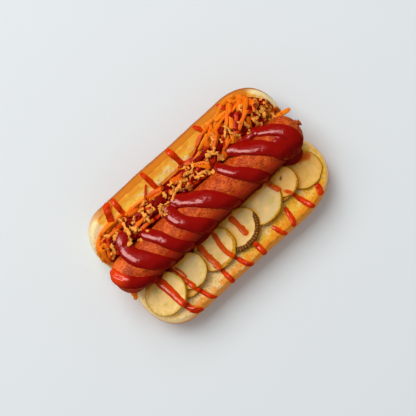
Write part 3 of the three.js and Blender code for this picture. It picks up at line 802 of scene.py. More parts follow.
class Half:
    """One half of the bun: x runs along it, s from the fold across its cut face, d down from that face."""

    def __init__(self, side, tilt, width, left_end, right_end):
        bun = settings().bun
        self.side, self.tilt, self.width = side, tilt, width
        self.left_end, self.right_end = left_end, right_end
        self.centre = (width - bun.fold_overlap) / 2
        self.half_width = (width + bun.fold_overlap) / 2
        self.half_length = bun.reach - bun.crust_bulge
        self.bun = bun

    def point(self, x, s, d):
        x, s, d = np.broadcast_arrays(np.asarray(x, float), s, d)
        y = self.side * (s * math.cos(self.tilt) + d * math.sin(self.tilt))
        z = self.bun.fold_height + s * math.sin(self.tilt) - d * math.cos(self.tilt)
        return np.stack([x, y, z], axis=-1)

    def local(self, points):
        """(s, d) of points."""
        y = points[:, 1] * self.side
        z = points[:, 2] - self.bun.fold_height
        s = y * math.cos(self.tilt) + z * math.sin(self.tilt)
        return s, y * math.sin(self.tilt) - z * math.cos(self.tilt)

    def end_share(self, x):
        """The half's width at x as a share of its full width: the ends are rounded off."""
        x = np.asarray(x, float) - self.bun.middle
        end = np.where(x > 0, self.right_end, self.left_end)
        past = np.clip((np.abs(x) - (self.half_length - end)) / end, 0, 1)
        return (1 - past**CORNER_POWER) ** (1 / CORNER_POWER)

    def edge(self, x):
        return self.centre + self.half_width * self.end_share(x)

    def ring(self, depth, outset):
        """Points round the half, at a depth below its cut face and so far out from its rim."""
        end_turns = np.linspace(-np.pi / 2, np.pi / 2, END_STEPS)
        power = 2 / CORNER_POWER
        ring = []
        for way, end, other in ((1, self.right_end, self.left_end), (-1, self.left_end, self.right_end)):
            start = self.bun.middle + way * (self.half_length - end)
            stop = self.bun.middle - way * (self.half_length - other)
            x = start + way * (end + outset) * np.maximum(0, np.cos(end_turns)) ** power
            bow = np.sign(np.sin(end_turns)) * np.abs(np.sin(end_turns)) ** power
            width = self.half_width + outset
            ring.append(self.point(x, self.centre + way * width * bow, depth))
            side = np.linspace(start, stop, SIDE_STEPS)[1:-1]
            ring.append(self.point(side, self.centre + way * width, depth))
        return np.vstack(ring)

    def skin(self, x, q, lift):
        """A point on the surface: q runs over the cut face from the fold, and down over the crust."""
        edge = float(self.edge(x))
        if q <= edge:
            return self.point(x, q, -lift)
        turn = min((q - edge) / self.bun.bulge_depth, STEEPEST)
        s = edge + (self.bun.crust_bulge + lift) * math.sin(min(turn, math.pi / 2))
        return self.point(x, s, self.bun.bulge_depth * (1 - math.cos(turn)) - lift * math.cos(turn))


def carrot_half():
    bun = settings().bun
    return Half(1, bun.carrot_tilt, bun.carrot_width, left_end=22 * MM, right_end=26 * MM)


def pickle_half():
    bun = settings().bun
    return Half(-1, bun.pickle_tilt, bun.pickle_width, left_end=24 * MM, right_end=36 * MM)


def crust_profile():
    """(depth, outset) pairs from the cut face down: out to the widest place, and in under the bun."""
    bun = settings().bun
    turn = np.linspace(math.pi / 2, 0.15, SHOULDER_RINGS)
    depth = bun.bulge_depth * (1 - np.sin(turn))
    outset = bun.crust_bulge * np.cos(turn)
    turn = np.linspace(0, UNDERSIDE_TURN, UNDERSIDE_RINGS)
    depth = np.append(depth, bun.bulge_depth + (bun.depth - bun.bulge_depth) * np.sin(turn))
    outset = np.append(outset, bun.crust_bulge - UNDERSIDE_INSET * (1 - np.cos(turn) ** 0.9))
    return zip(depth, outset)


def face_height(y):
    """Height of the cut faces above the floor."""
    bun = settings().bun
    slope = np.where(y > 0, math.tan(bun.carrot_tilt), math.tan(bun.pickle_tilt))
    return bun.fold_height + np.abs(y) * slope


class HOTDOG_OT_bun(bpy.types.Operator):
    """Bakes the bun: two halves joined at the fold, with a smooth crust and a toasted, porous cut face"""

    bl_idname = "hotdog.bun"
    bl_label = "Bun"

    def execute(self, context):
        points, faces = [], []
        for half in (carrot_half(), pickle_half()):
            rings = [half.ring(depth, outset) for depth, outset in crust_profile()]
            if half.side > 0:
                rings = [ring[::-1] for ring in rings]
            faces += loft_faces(len(rings), len(rings[0]), sum(len(p) for p in points))
            points += rings
        bun = add_piece("bun_crumb_and_crust", np.vstack(points), faces, bun_finish(), "bun", "bun")
        reskin(bun, settings().bun.skin_step, 4)
        self.shape(bun)
        return {"FINISHED"}

    def shape(self, bun):
        """Gives the bun its pits and waves, and paints where it is cut, pale, golden or soaked, and which
        parts get painted light or shade.
        """
        at, out = points_of(bun), normals_of(bun)
        x, y, _ = at.T
        upper = y > 0
        carrot, pickle = carrot_half(), pickle_half()
        s, d = np.where(upper, carrot.local(at), pickle.local(at))
        edge = np.where(upper, carrot.edge(x), pickle.edge(x))
        cut = 1 - fade(0.7, 1.9, d)
        inside = s - edge + 1.5 * MM * grain(at, 6, 8)
        lip = upper * fade(-8, -2, inside)
        rim = cut * fade(-6, -1, s - edge)
        pits = np.clip(grain(at, 1.7, 1) - 0.25, 0, 1) + 0.6 * np.clip(grain(at, 3.4, 2) - 0.3, 0, 1)
        rough = 0.35 * grain(at, 1.1, 3) + 0.4 * grain(at, 2.6, 4) + 0.5 * grain(at, 7, 5)
        upper_ends = fade(-62, -68, x) + fade(72, 78, x)
        lower_ends = fade(-50, -68, x) + 0.8 * fade(62, 76, x)
        pale = np.where(upper, upper_ends * fade(-16, -9, s - edge), 0.85 * lower_ends)
        pale = np.clip(pale, 0, 1)
        lip = lip * (1 - np.clip(2 * pale, 0, 1))
        cut = cut * (1 - lip**2)
        calm = 1 - 0.8 * np.where(upper, pale, 0)
        crumb = calm * (np.where(upper, 0.2, 0.6) * rough - np.where(upper, 0.35, 1.7) * pits)
        wave = 0.5 * grain(at, 26, 6) + 0.16 * grain(at, 8, 7)
        at = emboss(bun, cut * crumb + (1 - cut) * wave)
        x, y, _ = at.T
        # Painted light: the golden rim stays only where the surface turns away from the window, so the shaded
        # cut face is lifted and the shoulder that faces the window keeps the darker crust.
        lip = lip * smoothstep(0.05, -0.42, out[:, 1] + 0.16 * grain(at, 7, 9))
        juicy = upper * fade(2.6, -0.6, y - heap_edge(x) + 1.4 * MM * grain(at, 4, 10)) * fade(74, 60, x)
        pale = np.maximum(pale * (1 - fade(2, 6, d)), fade(-54, -80, x) * upper * (d > 1 * MM))
        baked = fade(1, 9, d) * (1 - fade(12, 19, d) * 0.5)
        golden = np.where(upper, 0.75, fade(-35, 25, x) + 0.4 * fade(-56, -72, x))
        paint(bun, cut=cut, lip=lip, rim=rim, pale=pale, baked=baked)
        paint(bun, golden=golden, juicy=juicy, shaded=1.0 - upper)


# ---------- the sausage ----------

END_POWER = 2.3
SKIN_SIDES, SKIN_RINGS, END_RINGS = 104, 250, 25
CASING_PLEATS = 9
CASING_TWIST = 0.9 / MM  # how far the pleats wind round, in radians for a length
KNOT_RINGS, KNOT_POINTS = 14, 14


def sausage_radius(x):
    s = settings().sausage
    x = np.asarray(x, float)
    left = (s.left + s.left_end - x) / s.left_end
    right = (x - s.right + s.right_end) / s.right_end
    past = np.clip(np.maximum(left, right), 0, 1)
    return s.radius * (1 - past**END_POWER) ** (1 / END_POWER)


class HOTDOG_OT_sausage(bpy.types.Operator):
    """Grills the sausage: a fine-grained skin, slightly uneven, with a twisted casing at its right end"""

    bl_idname = "hotdog.sausage"
    bl_label = "Sausage"

    def execute(self, context):
        s = settings().sausage
        turn = full_turn(SKIN_SIDES)
        ease = 1 - np.cos(np.linspace(0, 1, END_RINGS + 1)[1:] * np.pi / 2)
        left = s.left + s.left_end * ease
        right = s.right - s.right_end * ease
        middle = np.linspace(left[-1], right[-1], SKIN_RINGS - 2 * END_RINGS)[1:-1]
        x = np.concatenate([left, middle, right[::-1]])[:, None]
        pleat = np.clip((x - (s.right - 6 * MM)) / (6 * MM), 0, 1) ** 1.5
        folds = 1 - 0.22 * pleat * (0.5 + 0.5 * np.cos(CASING_PLEATS * turn + x * CASING_TWIST))
        ring = sausage_radius(x) * folds
        y = s.across + ring * np.sin(turn)
        z = s.height + ring * np.cos(turn)
        points = np.stack([np.broadcast_to(x, y.shape), y, z], axis=-1).reshape(-1, 3)
        faces = [face[::-1] for face in loft_faces(len(x), SKIN_SIDES)]
        sausage = add_piece("sausage_skin", points, faces, sausage_finish(), "sausage", "sausage")
        uneven = 0.32 * grain(points, 17, 11) + 0.1 * grain(points, 4.5, 12)
        emboss(sausage, uneven + 0.07 * grain(points * (0.6, 1, 1), 1.3, 13))
        self.paint_skin(sausage, points)
        self.knot(s)
        return {"FINISHED"}

    def paint_skin(self, sausage, points):
        """Paints the smooth bare spot, the dry right end, and painted shade on the lower flank and the
        underside.
        """
        s = settings().sausage
        x, y, _ = points.T
        side = y - s.across + 1.2 * MM * grain(points, 7, 14)
        # Painted shade: the flank darkens downwards, most over a stretch left of the middle, and the
        # underside turns to dark skin.
        wettest = fade(-50, -36, x) * fade(-6, -18, x)
        flank = fade(-3, -10, side - 2 * MM * wettest) * (0.7 + 0.3 * wettest)
        under = 0.8 * fade(-9, -13.5, side)
        bare = np.hypot((x + 73.5 * MM) / 5.5, (y - 10.5 * MM) / 5) / MM
        smooth = 1 - smoothstep(0.6, 1.2, bare + 0.2 * grain(points, 3, 15))
        dry = fade(-8, -2, x - s.right + 1.5 * MM * grain(points, 4, 16))
        paint(sausage, flank=flank, under=under, smooth=smooth, dry=dry)

    def knot(self, s):
        """The twisted end of the casing."""
        turns = np.linspace(0, 1, KNOT_RINGS)
        x = s.right - 1.2 * MM + turns * 3 * MM
        y = s.across + 0.7 * MM * np.sin(turns * 5)
        z = s.height + 0.7 * MM * np.cos(turns * 5)
        line = np.stack([x, y, z], axis=1)
        up = np.stack([0 * turns, np.sin(turns * 4), np.cos(turns * 4)], axis=1)
        star = oval(KNOT_POINTS) * (1 + 0.28 * np.cos(np.arange(KNOT_POINTS) * np.pi))[:, None]
        width = (3.4 - 1.9 * smoothstep(0, 0.8, turns) - 0.9 * smoothstep(0.8, 1, turns)) * MM
        ribbons = Ribbons()
        ribbons.add(line, up, width, width * 0.8, star)
        ribbons.piece("sausage_knot", casing_finish(), "sausage")


# ---------- the heap below and beside the sausage ----------

HEAP_LEFT, HEAP_RIGHT = -80.5 * MM, 83 * MM
HEAP_THICKNESS = 14 * MM
HEAP_END_MIDDLE = 24 * MM


def heap_reach(x):
    middle = (HEAP_LEFT + HEAP_RIGHT) / 2
    return np.clip(np.abs(x - middle) / ((HEAP_RIGHT - HEAP_LEFT) / 2), 0, 1)


def heap_edge(x):
    """Y of the heap's outer edge: it is piled wide towards the right."""
    widening = fade(10, 34, x) * (1 - fade(70, 82, x))
    edge = 33.5 * MM + 7.5 * MM * widening
    return edge + (HEAP_END_MIDDLE + 4 * MM - edge) * heap_reach(x) ** 16


def heap_inner_edge(x):
    return -10 * MM + (HEAP_END_MIDDLE + 5 * MM) * heap_reach(x) ** 6


def heap_top(x, y):
    """Height of the heap without its loose shreds."""
    x, y = np.broadcast_arrays(np.asarray(x, float), y)
    inner = heap_inner_edge(x)
    share = np.clip((y - inner) / (heap_edge(x) - inner), 0, 1)
    ridge = np.sin(np.pi * share**1.35) ** 0.8
    thickness = HEAP_THICKNESS * (1 - 0.75 * heap_reach(x) ** 8)
    return face_height(y) + 0.6 * MM + thickness * ridge


class HeightMap:
    """The height of what is piled up so far, seen from above."""

    def __init__(self, x_range, y_range, height, cell=0.7 * MM):
        self.cell = cell
        self.x = np.arange(*x_range, cell)
        self.y = np.arange(*y_range, cell)
        grid_x, grid_y = np.meshgrid(self.x, self.y, indexing="ij")
        self.height = height(grid_x, grid_y)

    def index(self, x, y):
        """The cell of the map that each place lies in."""
        pairs = ((x, self.x), (y, self.y))
        cells = (np.rint((place - axis[0]) / self.cell).astype(int) for place, axis in pairs)
        return tuple(np.clip(cell, 0, most - 1) for cell, most in zip(cells, self.height.shape))

    def at(self, x, y):
        return self.height[self.index(x, y)]

    def settle(self, x, y, half_thickness, droop):
        """Heights for the middle line of a strip laid over x, y: a smooth line that rests on the heap."""
        ground = self.at(x, y)
        share = np.linspace(-1, 1, len(x))
        bend = np.polyfit(share, ground, 2)
        bend[0] = np.clip(bend[0], -droop, droop)
        line = np.polyval(bend, share)
        return line + np.quantile(ground - line, 0.7) + half_thickness

    def cover(self, x, y, z, half_width):
        """Raises the map to z where a strip lies."""
        radius = half_width / self.cell
        reach = int(math.ceil(radius))
        i, j = self.index(x, y)
        for a, b in product(range(-reach, reach + 1), repeat=2):
            if a * a + b * b <= radius**2:
                at = np.clip(i + a, 0, len(self.x) - 1), np.clip(j + b, 0, len(self.y) - 1)
                np.maximum.at(self.height, at, z)


LOOK_FROM = 0.2  # a height above all that is piled up


def surface_heights(names, floor_height):
    """A function that gives the height of the named pieces at x, y."""
    depsgraph = bpy.context.evaluated_depsgraph_get()
    trees = [BVHTree.FromObject(bpy.data.objects[name], depsgraph) for name in names]
    down = Vector((0, 0, -1))

    def height(x, y):
        found = np.full(np.shape(x), float(floor_height))
        for index in np.ndindex(*np.shape(x)):
            for tree in trees:
                hit = tree.ray_cast(Vector((x[index], y[index], LOOK_FROM)), down)[0]
                if hit is not None and hit.z > found[index]:
                    found[index] = hit.z
        return found

    return height


def turned(x, y, along, across, turn):
    """Places around x, y, so far along a heading and across it."""
    return (
        x + along * math.cos(turn) - across * math.sin(turn),
        y + along * math.sin(turn) + across * math.cos(turn),
    )


def rolled(side, roll):
    """The back of a strip at each point, rolled over towards its side."""
    return side * np.sin(roll)[:, None] + UP * np.cos(roll)[:, None]


TRIES = 6  # how often a shred looks for a place
BED_RINGS, BED_SIDES = 150, 46
SHRED_RINGS, TOP_RINGS, SHORT_RINGS = 11, 14, 12
# The corners round a shred, in shares of its half width and half thickness.
BAR = np.array([(1, 0.76), (0.9, 1), (-0.9, 1), (-1, 0.76), (-1, -0.76), (-0.9, -1), (0.9, -1), (1, -0.76)])

# Groups of loose shreds: their share of all, the field of their middles (from and to in X, from
# and to in Y), their heading in degrees with its spread, and their shortest and longest length.
SHRED_GROUPS = [
    (0.38, (-73, 28, 17, 32), 2, 40, (8, 24)),
    (0.32, (28, 77, 18, 43), 40, 26, (12, 28)),
    (0.14, (-79, -62, 16, 33), 40, 70, (8, 17)),
    (0.14, (66, 81, 16, 31), -40, 60, (8, 16)),
]
# The shreds on top: their width, how pale they are, how much sauce is on them, and places x, y.
TOP_SHREDS = [
    (2.8, 0.7, 0.0, [(14, 30.1), (21, 31.5), (26.6, 33.6), (31.5, 35.7)]),
    (2.4, 0.9, 0.0, [(21, 33), (26.6, 35), (33, 37.8)]),
    (2.6, 0.9, 0.0, [(39.2, 37.1), (43.4, 39.9), (49, 43.7), (55.3, 46.4)]),
    (3.2, 0.5, 0.05, [(33, 35.2), (39.2, 35.8), (46.2, 38.2), (53.2, 38.5)]),
    (3.0, 1.0, 0.0, [(43.4, 40.2), (49, 40.8), (53.9, 40)]),
    (2.6, 0.4, 0.1, [(46.2, 32.2), (50.4, 36.4), (55.3, 41.3), (58.8, 44.8)]),
    (3.6, 0.8, 0.0, [(58.8, 44.6), (64, 43.8), (69, 40.4)]),
    (3.4, 0.5, 0.0, [(60.2, 41.8), (65.8, 40.2), (71, 37)]),
    (3.0, 0.9, 0.0, [(54.6, 45.6), (60, 46.2), (64.6, 45)]),
    (3.6, 0.6, 0.0, [(59.5, 34.3), (63, 37.8), (66.6, 41.4), (68, 43)]),
    (3.4, 0.3, 0.0, [(63.7, 34.3), (67.9, 37.6), (71, 39.4)]),
    (3.0, 0.8, 0.0, [(47.6, 28.7), (51.8, 33.6), (56, 39.2), (59.5, 43.4)]),
    (2.8, 0.6, 0.0, [(58.8, 28.7), (63, 32.2), (67.2, 35.4), (70, 38.2)]),
    (2.6, 0.4, 0.1, [(67.9, 26.6), (70, 30.8), (72.1, 34.6)]),
    (2.4, 0.2, 0.2, [(70.7, 28.6), (73, 31.4), (74.6, 33)]),
    (2.6, 0.6, 0.0, [(41.3, 21), (44.1, 23.8), (46.2, 27.3)]),
    (2.6, 0.1, 0.3, [(51.1, 24.5), (56, 27.7), (60.9, 29.8), (64.4, 31.5)]),
    (2.8, 0.1, 0.45, [(58.1, 20), (60.2, 24.5), (61.6, 28)]),
    (3.4, 0.5, 0.0, [(9.8, 28.7), (13.3, 26.6), (17.5, 23.8), (20.3, 21)]),
    (2.8, 0.5, 0.1, [(14, 25.2), (16.8, 21.7), (18.9, 18.6)]),
    (1.8, 0.1, 0.5, [(33.6, 21.7), (37.8, 22.4), (42.7, 23.8)]),
    (2.6, 0.1, 0.4, [(28.7, 26.6), (33.6, 30.1), (37.1, 32.9)]),
    (3.0, 0.0, 0.8, [(49, 26.6), (54.6, 31.5), (58.1, 35)]),
    (2.0, 0.8, 0.0, [(-47.6, 33.6), (-42, 34.4), (-35, 34.2), (-30.1, 33)]),
    (1.5, 0.0, 0.6, [(-30.1, 32.2), (-26.6, 35.7), (-22.4, 40.2)]),
    (3.0, 0.1, 0.4, [(-28, 32.6), (-22.4, 32.6), (-16.1, 30.5)]),
    (2.2, 0.2, 0.4, [(-28, 30.1), (-21.7, 29.1), (-16.8, 28.7)]),
    (3.0, 0.2, 0.4, [(-7.7, 28.7), (-4.2, 27.3), (-0.7, 25.2)]),
    (2.6, 0.1, 0.45, [(-46.2, 32), (-42, 31.5), (-37.8, 30.8)]),
    (2.8, 0.3, 0.3, [(-46.2, 23.1), (-42, 23.2), (-37.8, 23.1)]),
    (2.4, 0.2, 0.4, [(-46.2, 18.9), (-40.6, 18.9), (-34.3, 18.2)]),
    (2.4, 1.0, 0.0, [(-79.2, 17.6), (-80.2, 22), (-79, 26.4)]),
    (2.8, 0.6, 0.0, [(-77.4, 16.8), (-77.2, 21.5), (-75, 26.2)]),
    (2.2, 0.9, 0.0, [(-81, 20), (-77.4, 23.8), (-75.4, 28.4)]),
    (2.4, 0.8, 0.0, [(-79.6, 24), (-76.6, 29.2), (-72.6, 32.4)]),
    (2.4, 0.2, 0.2, [(-75.4, 18.6), (-72.4, 23.4), (-71.2, 29)]),
    (1.9, 1.0, 0.0, [(-80.6, 26.6), (-76.2, 27.4), (-71.6, 29.2)]),
    (2.6, 1.0, 0.0, [(-77.2, 30), (-72, 34), (-66, 36)]),
    (2.2, 0.6, 0.0, [(-74.2, 32), (-70.2, 30.8), (-65.6, 31.8)]),
    (2.4, 0.5, 0.1, [(-70.4, 34.4), (-64.8, 36.4), (-58.6, 36.8)]),
    (2.4, 0.4, 0.1, [(-68.6, 29.4), (-63, 30.4), (-56.7, 29.4)]),
    (2.4, 0.8, 0.0, [(-67.9, 35.4), (-62.3, 36.1), (-55.3, 35.6)]),
    (2.0, 0.7, 0.1, [(-55.3, 35.2), (-50.4, 36.2), (-46.2, 35)]),
    (2.2, 0.1, 0.4, [(-68.6, 34.4), (-63, 32.9), (-58.1, 31.6)]),
    (2.6, 0.3, 0.2, [(-65, 33), (-60, 34.6), (-54.5, 34)]),
    (2.6, 0.1, 0.7, [(-71.4, 23.1), (-69.3, 26.6), (-67.2, 30.1)]),
    (2.4, 0.1, 0.6, [(-61.6, 28), (-58.1, 27.3), (-54.6, 25.9)]),
]
# Shreds that stick out, through these places, and which way their backs face.
STRAY_UP = np.array([0, 0.2, 1])
STRAY_SHREDS = [
    [(64, 15.8, 28.5), (76, 14.6, 29), (88.4, 12.2, 27)],
    [(-70, -3, 15), (-77.5, -9, 15), (-83, -15, 13.5)],
    [(-68, -1, 15.2), (-75.5, -7.6, 16), (-78.6, -11.8, 16.5)],
    [(-74, -5, 15.5), (-79, -8.4, 16), (-82, -12, 14.5)],
]
# Dark wet sauce between the shreds: half width, and places x, y.
SAUCE_BLOTS = [
    (1.6, [(14.5, 28.2), (20, 28.6), (26, 28)]), (2.4, [(40, 34), (43, 31.5), (45.5, 29.5)]),
    (2.4, [(52.5, 36.5), (56, 34), (59.5, 31.5)]), (2.6, [(50, 31), (53, 27.5), (55.5, 24.5)]),
    (1.6, [(66, 32.5), (67.2, 27), (68, 22)]), (1.8, [(71, 29), (73.5, 28)]), (2.0, [(51, 22.5), (55, 20.5)]),
    (2.6, [(-28, 27.5), (-23, 25.5), (-18, 24)]), (2.4, [(-48.5, 28.5), (-44, 26.5)]),
    (2.2, [(-60, 24.5), (-56, 22)]), (2.0, [(-10, 20.5), (-5, 20)]), (1.8, [(33, 24.5), (37, 26.5)]),
    (2.2, [(-40, 20.5), (-33, 20.5)]), (2.0, [(-66, 27), (-64, 30)]), (1.8, [(2, 22.5), (6, 22)]),
]
BED_DEPTH = 3.2 * MM  # from the top of the heap down to its soaked bed
HEAP_PROUD = 0.8 * MM  # how far loose shreds may stand over the top of the heap
TOP_PROUD = 2.4 * MM  # how far the shreds on top may
SAUSAGE_CLEARANCE = 15.3 * MM  # from the sausage's axis to the nearest shred


def end_line(x):
    """Y of the slanting line in which the wide part of the heap ends towards the right."""
    return np.interp(x, np.array([59.5, 73.5, 83]) * MM, np.array([46.5, 35, 17]) * MM)


class HOTDOG_OT_carrots(bpy.types.Operator):
    """Heaps the carrot shreds on the sauce-soaked bed beside the sausage, one on another"""

    bl_idname = "hotdog.carrots"
    bl_label = "Carrot shreds"

    def execute(self, context):
        self.bed()
        heap = settings().heap
        self.random = np.random.default_rng(heap.seed)
        self.ground = HeightMap((-90 * MM, 92 * MM), (10 * MM, 56 * MM), self.start)
        self.shreds = Ribbons()
        plan = [i for i, group in enumerate(SHRED_GROUPS) for _ in range(int(group[0] * heap.shreds))]
        self.random.shuffle(plan)
        for i in plan:
            self.loose_shred(*SHRED_GROUPS[i][1:])
        blots = Ribbons()
        for half_width, places in SAUCE_BLOTS:
            self.blot(blots, half_width * MM, places)
        blots.piece("sauce_blots", sauce_bed_finish("sauce_blots", 0.3 * MM), "ketchup")
        for width, tone, sauce, places in TOP_SHREDS:
            self.top_shred(width * MM / 2, tone, sauce, places)
        for places in STRAY_SHREDS:
            line = spline(np.array(places) * MM, SHORT_RINGS)
            width = heap.shred_width * 0.6 * blunt(SHORT_RINGS)
            self.shreds.add(line, STRAY_UP, width, heap.shred_thickness / 2, BAR, tone=1.0, sauce=0.0)
        self.shreds.piece("carrot_shreds", carrot_finish(), "carrot")
        return {"FINISHED"}

    def start(self, x, y):
        """The height that the first shreds rest on: the bed, and the bun outside it."""
        half = carrot_half()
        on_bun = np.minimum(face_height(y), half.point(0, half.edge(x), 0)[..., 2] + 0 * y)
        inside = fade(1, -3, y - heap_edge(x))
        return on_bun + inside * np.maximum(heap_top(x, y) - BED_DEPTH - on_bun, 0)

    def bed(self):
        """The soaked bed of onion and sauce that fills the fold under the shreds."""
        rows = []
        for x in np.linspace(HEAP_LEFT + 2 * MM, HEAP_RIGHT - 2 * MM, BED_RINGS):
            y = np.linspace(heap_inner_edge(x), heap_edge(x) - 1 * MM, BED_SIDES)
            floor = face_height(y) - 0.6 * MM
            top = np.maximum(heap_top(x, y) - BED_DEPTH, floor + 0.3 * MM)
            around = np.column_stack([np.append(y, y[::-1]), np.append(floor, top[::-1])])
            rows.append(np.insert(around, 0, x, axis=1))
        points = np.vstack(rows)
        faces = loft_faces(BED_RINGS, 2 * BED_SIDES)
        finish = sauce_bed_finish("sauce_bed", 1.2 * MM)
        bed = add_piece("sauce_bed", points, faces, finish, "carrot", "carrot_heap")
        lumps = 0.7 * grain(points, 3, 21) + 0.5 * grain(points, 1.5, 22)
        s = settings().sausage
        x, y, z = points.T
        away = np.hypot(y - s.across, z - s.height)
        lumps = lumps * fade(0, 3, away - s.radius) * MM
        pressed = 1.2 * np.clip(sausage_radius(x) + 0.2 * MM - away, 0, None)
        points[:, 2] += np.where(z > face_height(y), lumps - pressed, 0)
        move_points(bed, points)

    def loose_shred(self, field, heading, spread, lengths):
        """Lays one shred where the heap still has room for it."""
        heap, s, random = settings().heap, settings().sausage, self.random
        left, right, near, far = np.array(field) * MM
        place = np.linspace(-1, 1, SHRED_RINGS)
        for _ in range(TRIES):
            x = random.uniform(left, right)
            y = random.uniform(near, min(far, heap_edge(x) + 1.5 * MM))
            turn = math.radians(heading + random.uniform(-1, 1) * spread)
            half = random.uniform(*lengths) * MM / 2
            bow, twist = random.normal(0, 0.13) * half, random.normal(0, 0.06) * half
            px, py = turned(x, y, place * half, bow * (place**2 - 0.3) + twist * place**3, turn)
            py = py + max(0, s.across + SAUSAGE_CLEARANCE - py.min())
            py = py - max(0, py.max() - heap_edge(x) - 4 * MM, (py - end_line(px)).max())
            px = np.clip(px, HEAP_LEFT + 1 * MM, HEAP_RIGHT - 1 * MM)
            width = heap.shred_width / 2 * random.uniform(0.6, 1.3)
            thickness = heap.shred_thickness / 2 * random.uniform(0.7, 1.2)
            pz = self.ground.settle(px, py, thickness, 1.2 * MM)
            if (pz - heap_top(px, py)).max() < HEAP_PROUD:
                break
        else:
            return
        line = np.stack([px, py, pz], axis=1)
        clean = 0.75 * fade(24, 44, px) + fade(-66, -76, px) + fade(28, 33, py)
        sauce = 1.0 + 0.5 * grain(line, 9, 31) - 0.7 * np.clip(clean, 0, 1.1) + random.normal(0, 0.2)
        gaps = [gap_to(line, places) / half_width for half_width, places in SAUCE_BLOTS]
        sauce = sauce + 0.6 * np.clip(sum(1 - fade(1, 2.2, gap) for gap in gaps), 0, 1)
        self.lay(line, width, thickness, random.uniform(), sauce)

    def blot(self, blots, half_width, places):
        """Lays a patch of dark sauce on what is there."""
        line, ends = flat_line(places, SHORT_RINGS), blunt(SHORT_RINGS)
        x, y, _ = line.T
        line[:, 2] = self.ground.settle(x, y, 0.2 * MM, 2 * MM)
        width = half_width * ends * (1 + 0.3 * grain(line, 2, 34))
        blots.add(line, UP, width, 0.4 * MM * ends, oval(12))
        self.ground.cover(x, y, line[:, 2] + 0.2 * MM, half_width * 0.8)

    def top_shred(self, half_width, tone, sauce, places):
        """Lays one shred through the places, on all that lies there."""
        line = flat_line(places, TOP_RINGS)
        x, y, _ = line.T
        thickness = settings().heap.shred_thickness / 2
        z = self.ground.settle(x, y, thickness, 1.6 * MM)
        line[:, 2] = z - max(0, (z - heap_top(x, y)).max() - TOP_PROUD)
        self.lay(line, half_width, thickness, tone, sauce + 0.15 * grain(line, 4, 33))

    def lay(self, line, width, thickness, tone, sauce):
        """Adds a shred along its line, a little rolled over and uneven, and raises the heap with it."""
        place, random = np.linspace(-1, 1, len(line)), self.random
        dx, dy, _ = line[-1] - line[0]
        roll = random.normal(0, 0.25) + random.normal(0, 0.35) * place
        back = rolled(unit(np.array([-dy, dx, 0])), roll)
        taper = np.clip(0.6 + 3 * np.minimum(place + 1, 1 - place), 0, 1)
        uneven = 1 + 0.12 * np.sin(place * random.uniform(2, 5) + random.uniform(0, 6))
        self.shreds.add(line, back, width * taper * uneven, thickness * taper, BAR, tone=tone, sauce=sauce)
        x, y, z = line.T
        self.ground.cover(x, y, z + thickness * 0.7, width)


FLAKE_RINGS, FLAKE_SIDES = 9, 10
# Onion flakes: their share, the field of their middles, and their lengths, in millimetres.
FLAKE_GROUPS = [
    (0.42, (-74, 76, 15, 29), (1.5, 3.6)),
    (0.10, (-62, 60, 24, 33), (1.5, 3)),
    (0.48, (68, 82, 14, 31), (1.6, 3.8)),
]
# Fields that loose flakes leave free: the turns of the thick ketchup.
FREE_FIELDS = [(-68, -57, 10, 24), (-20, -4, 11, 20), (33, 48, 12, 20), (46, 70, 12, 18)]
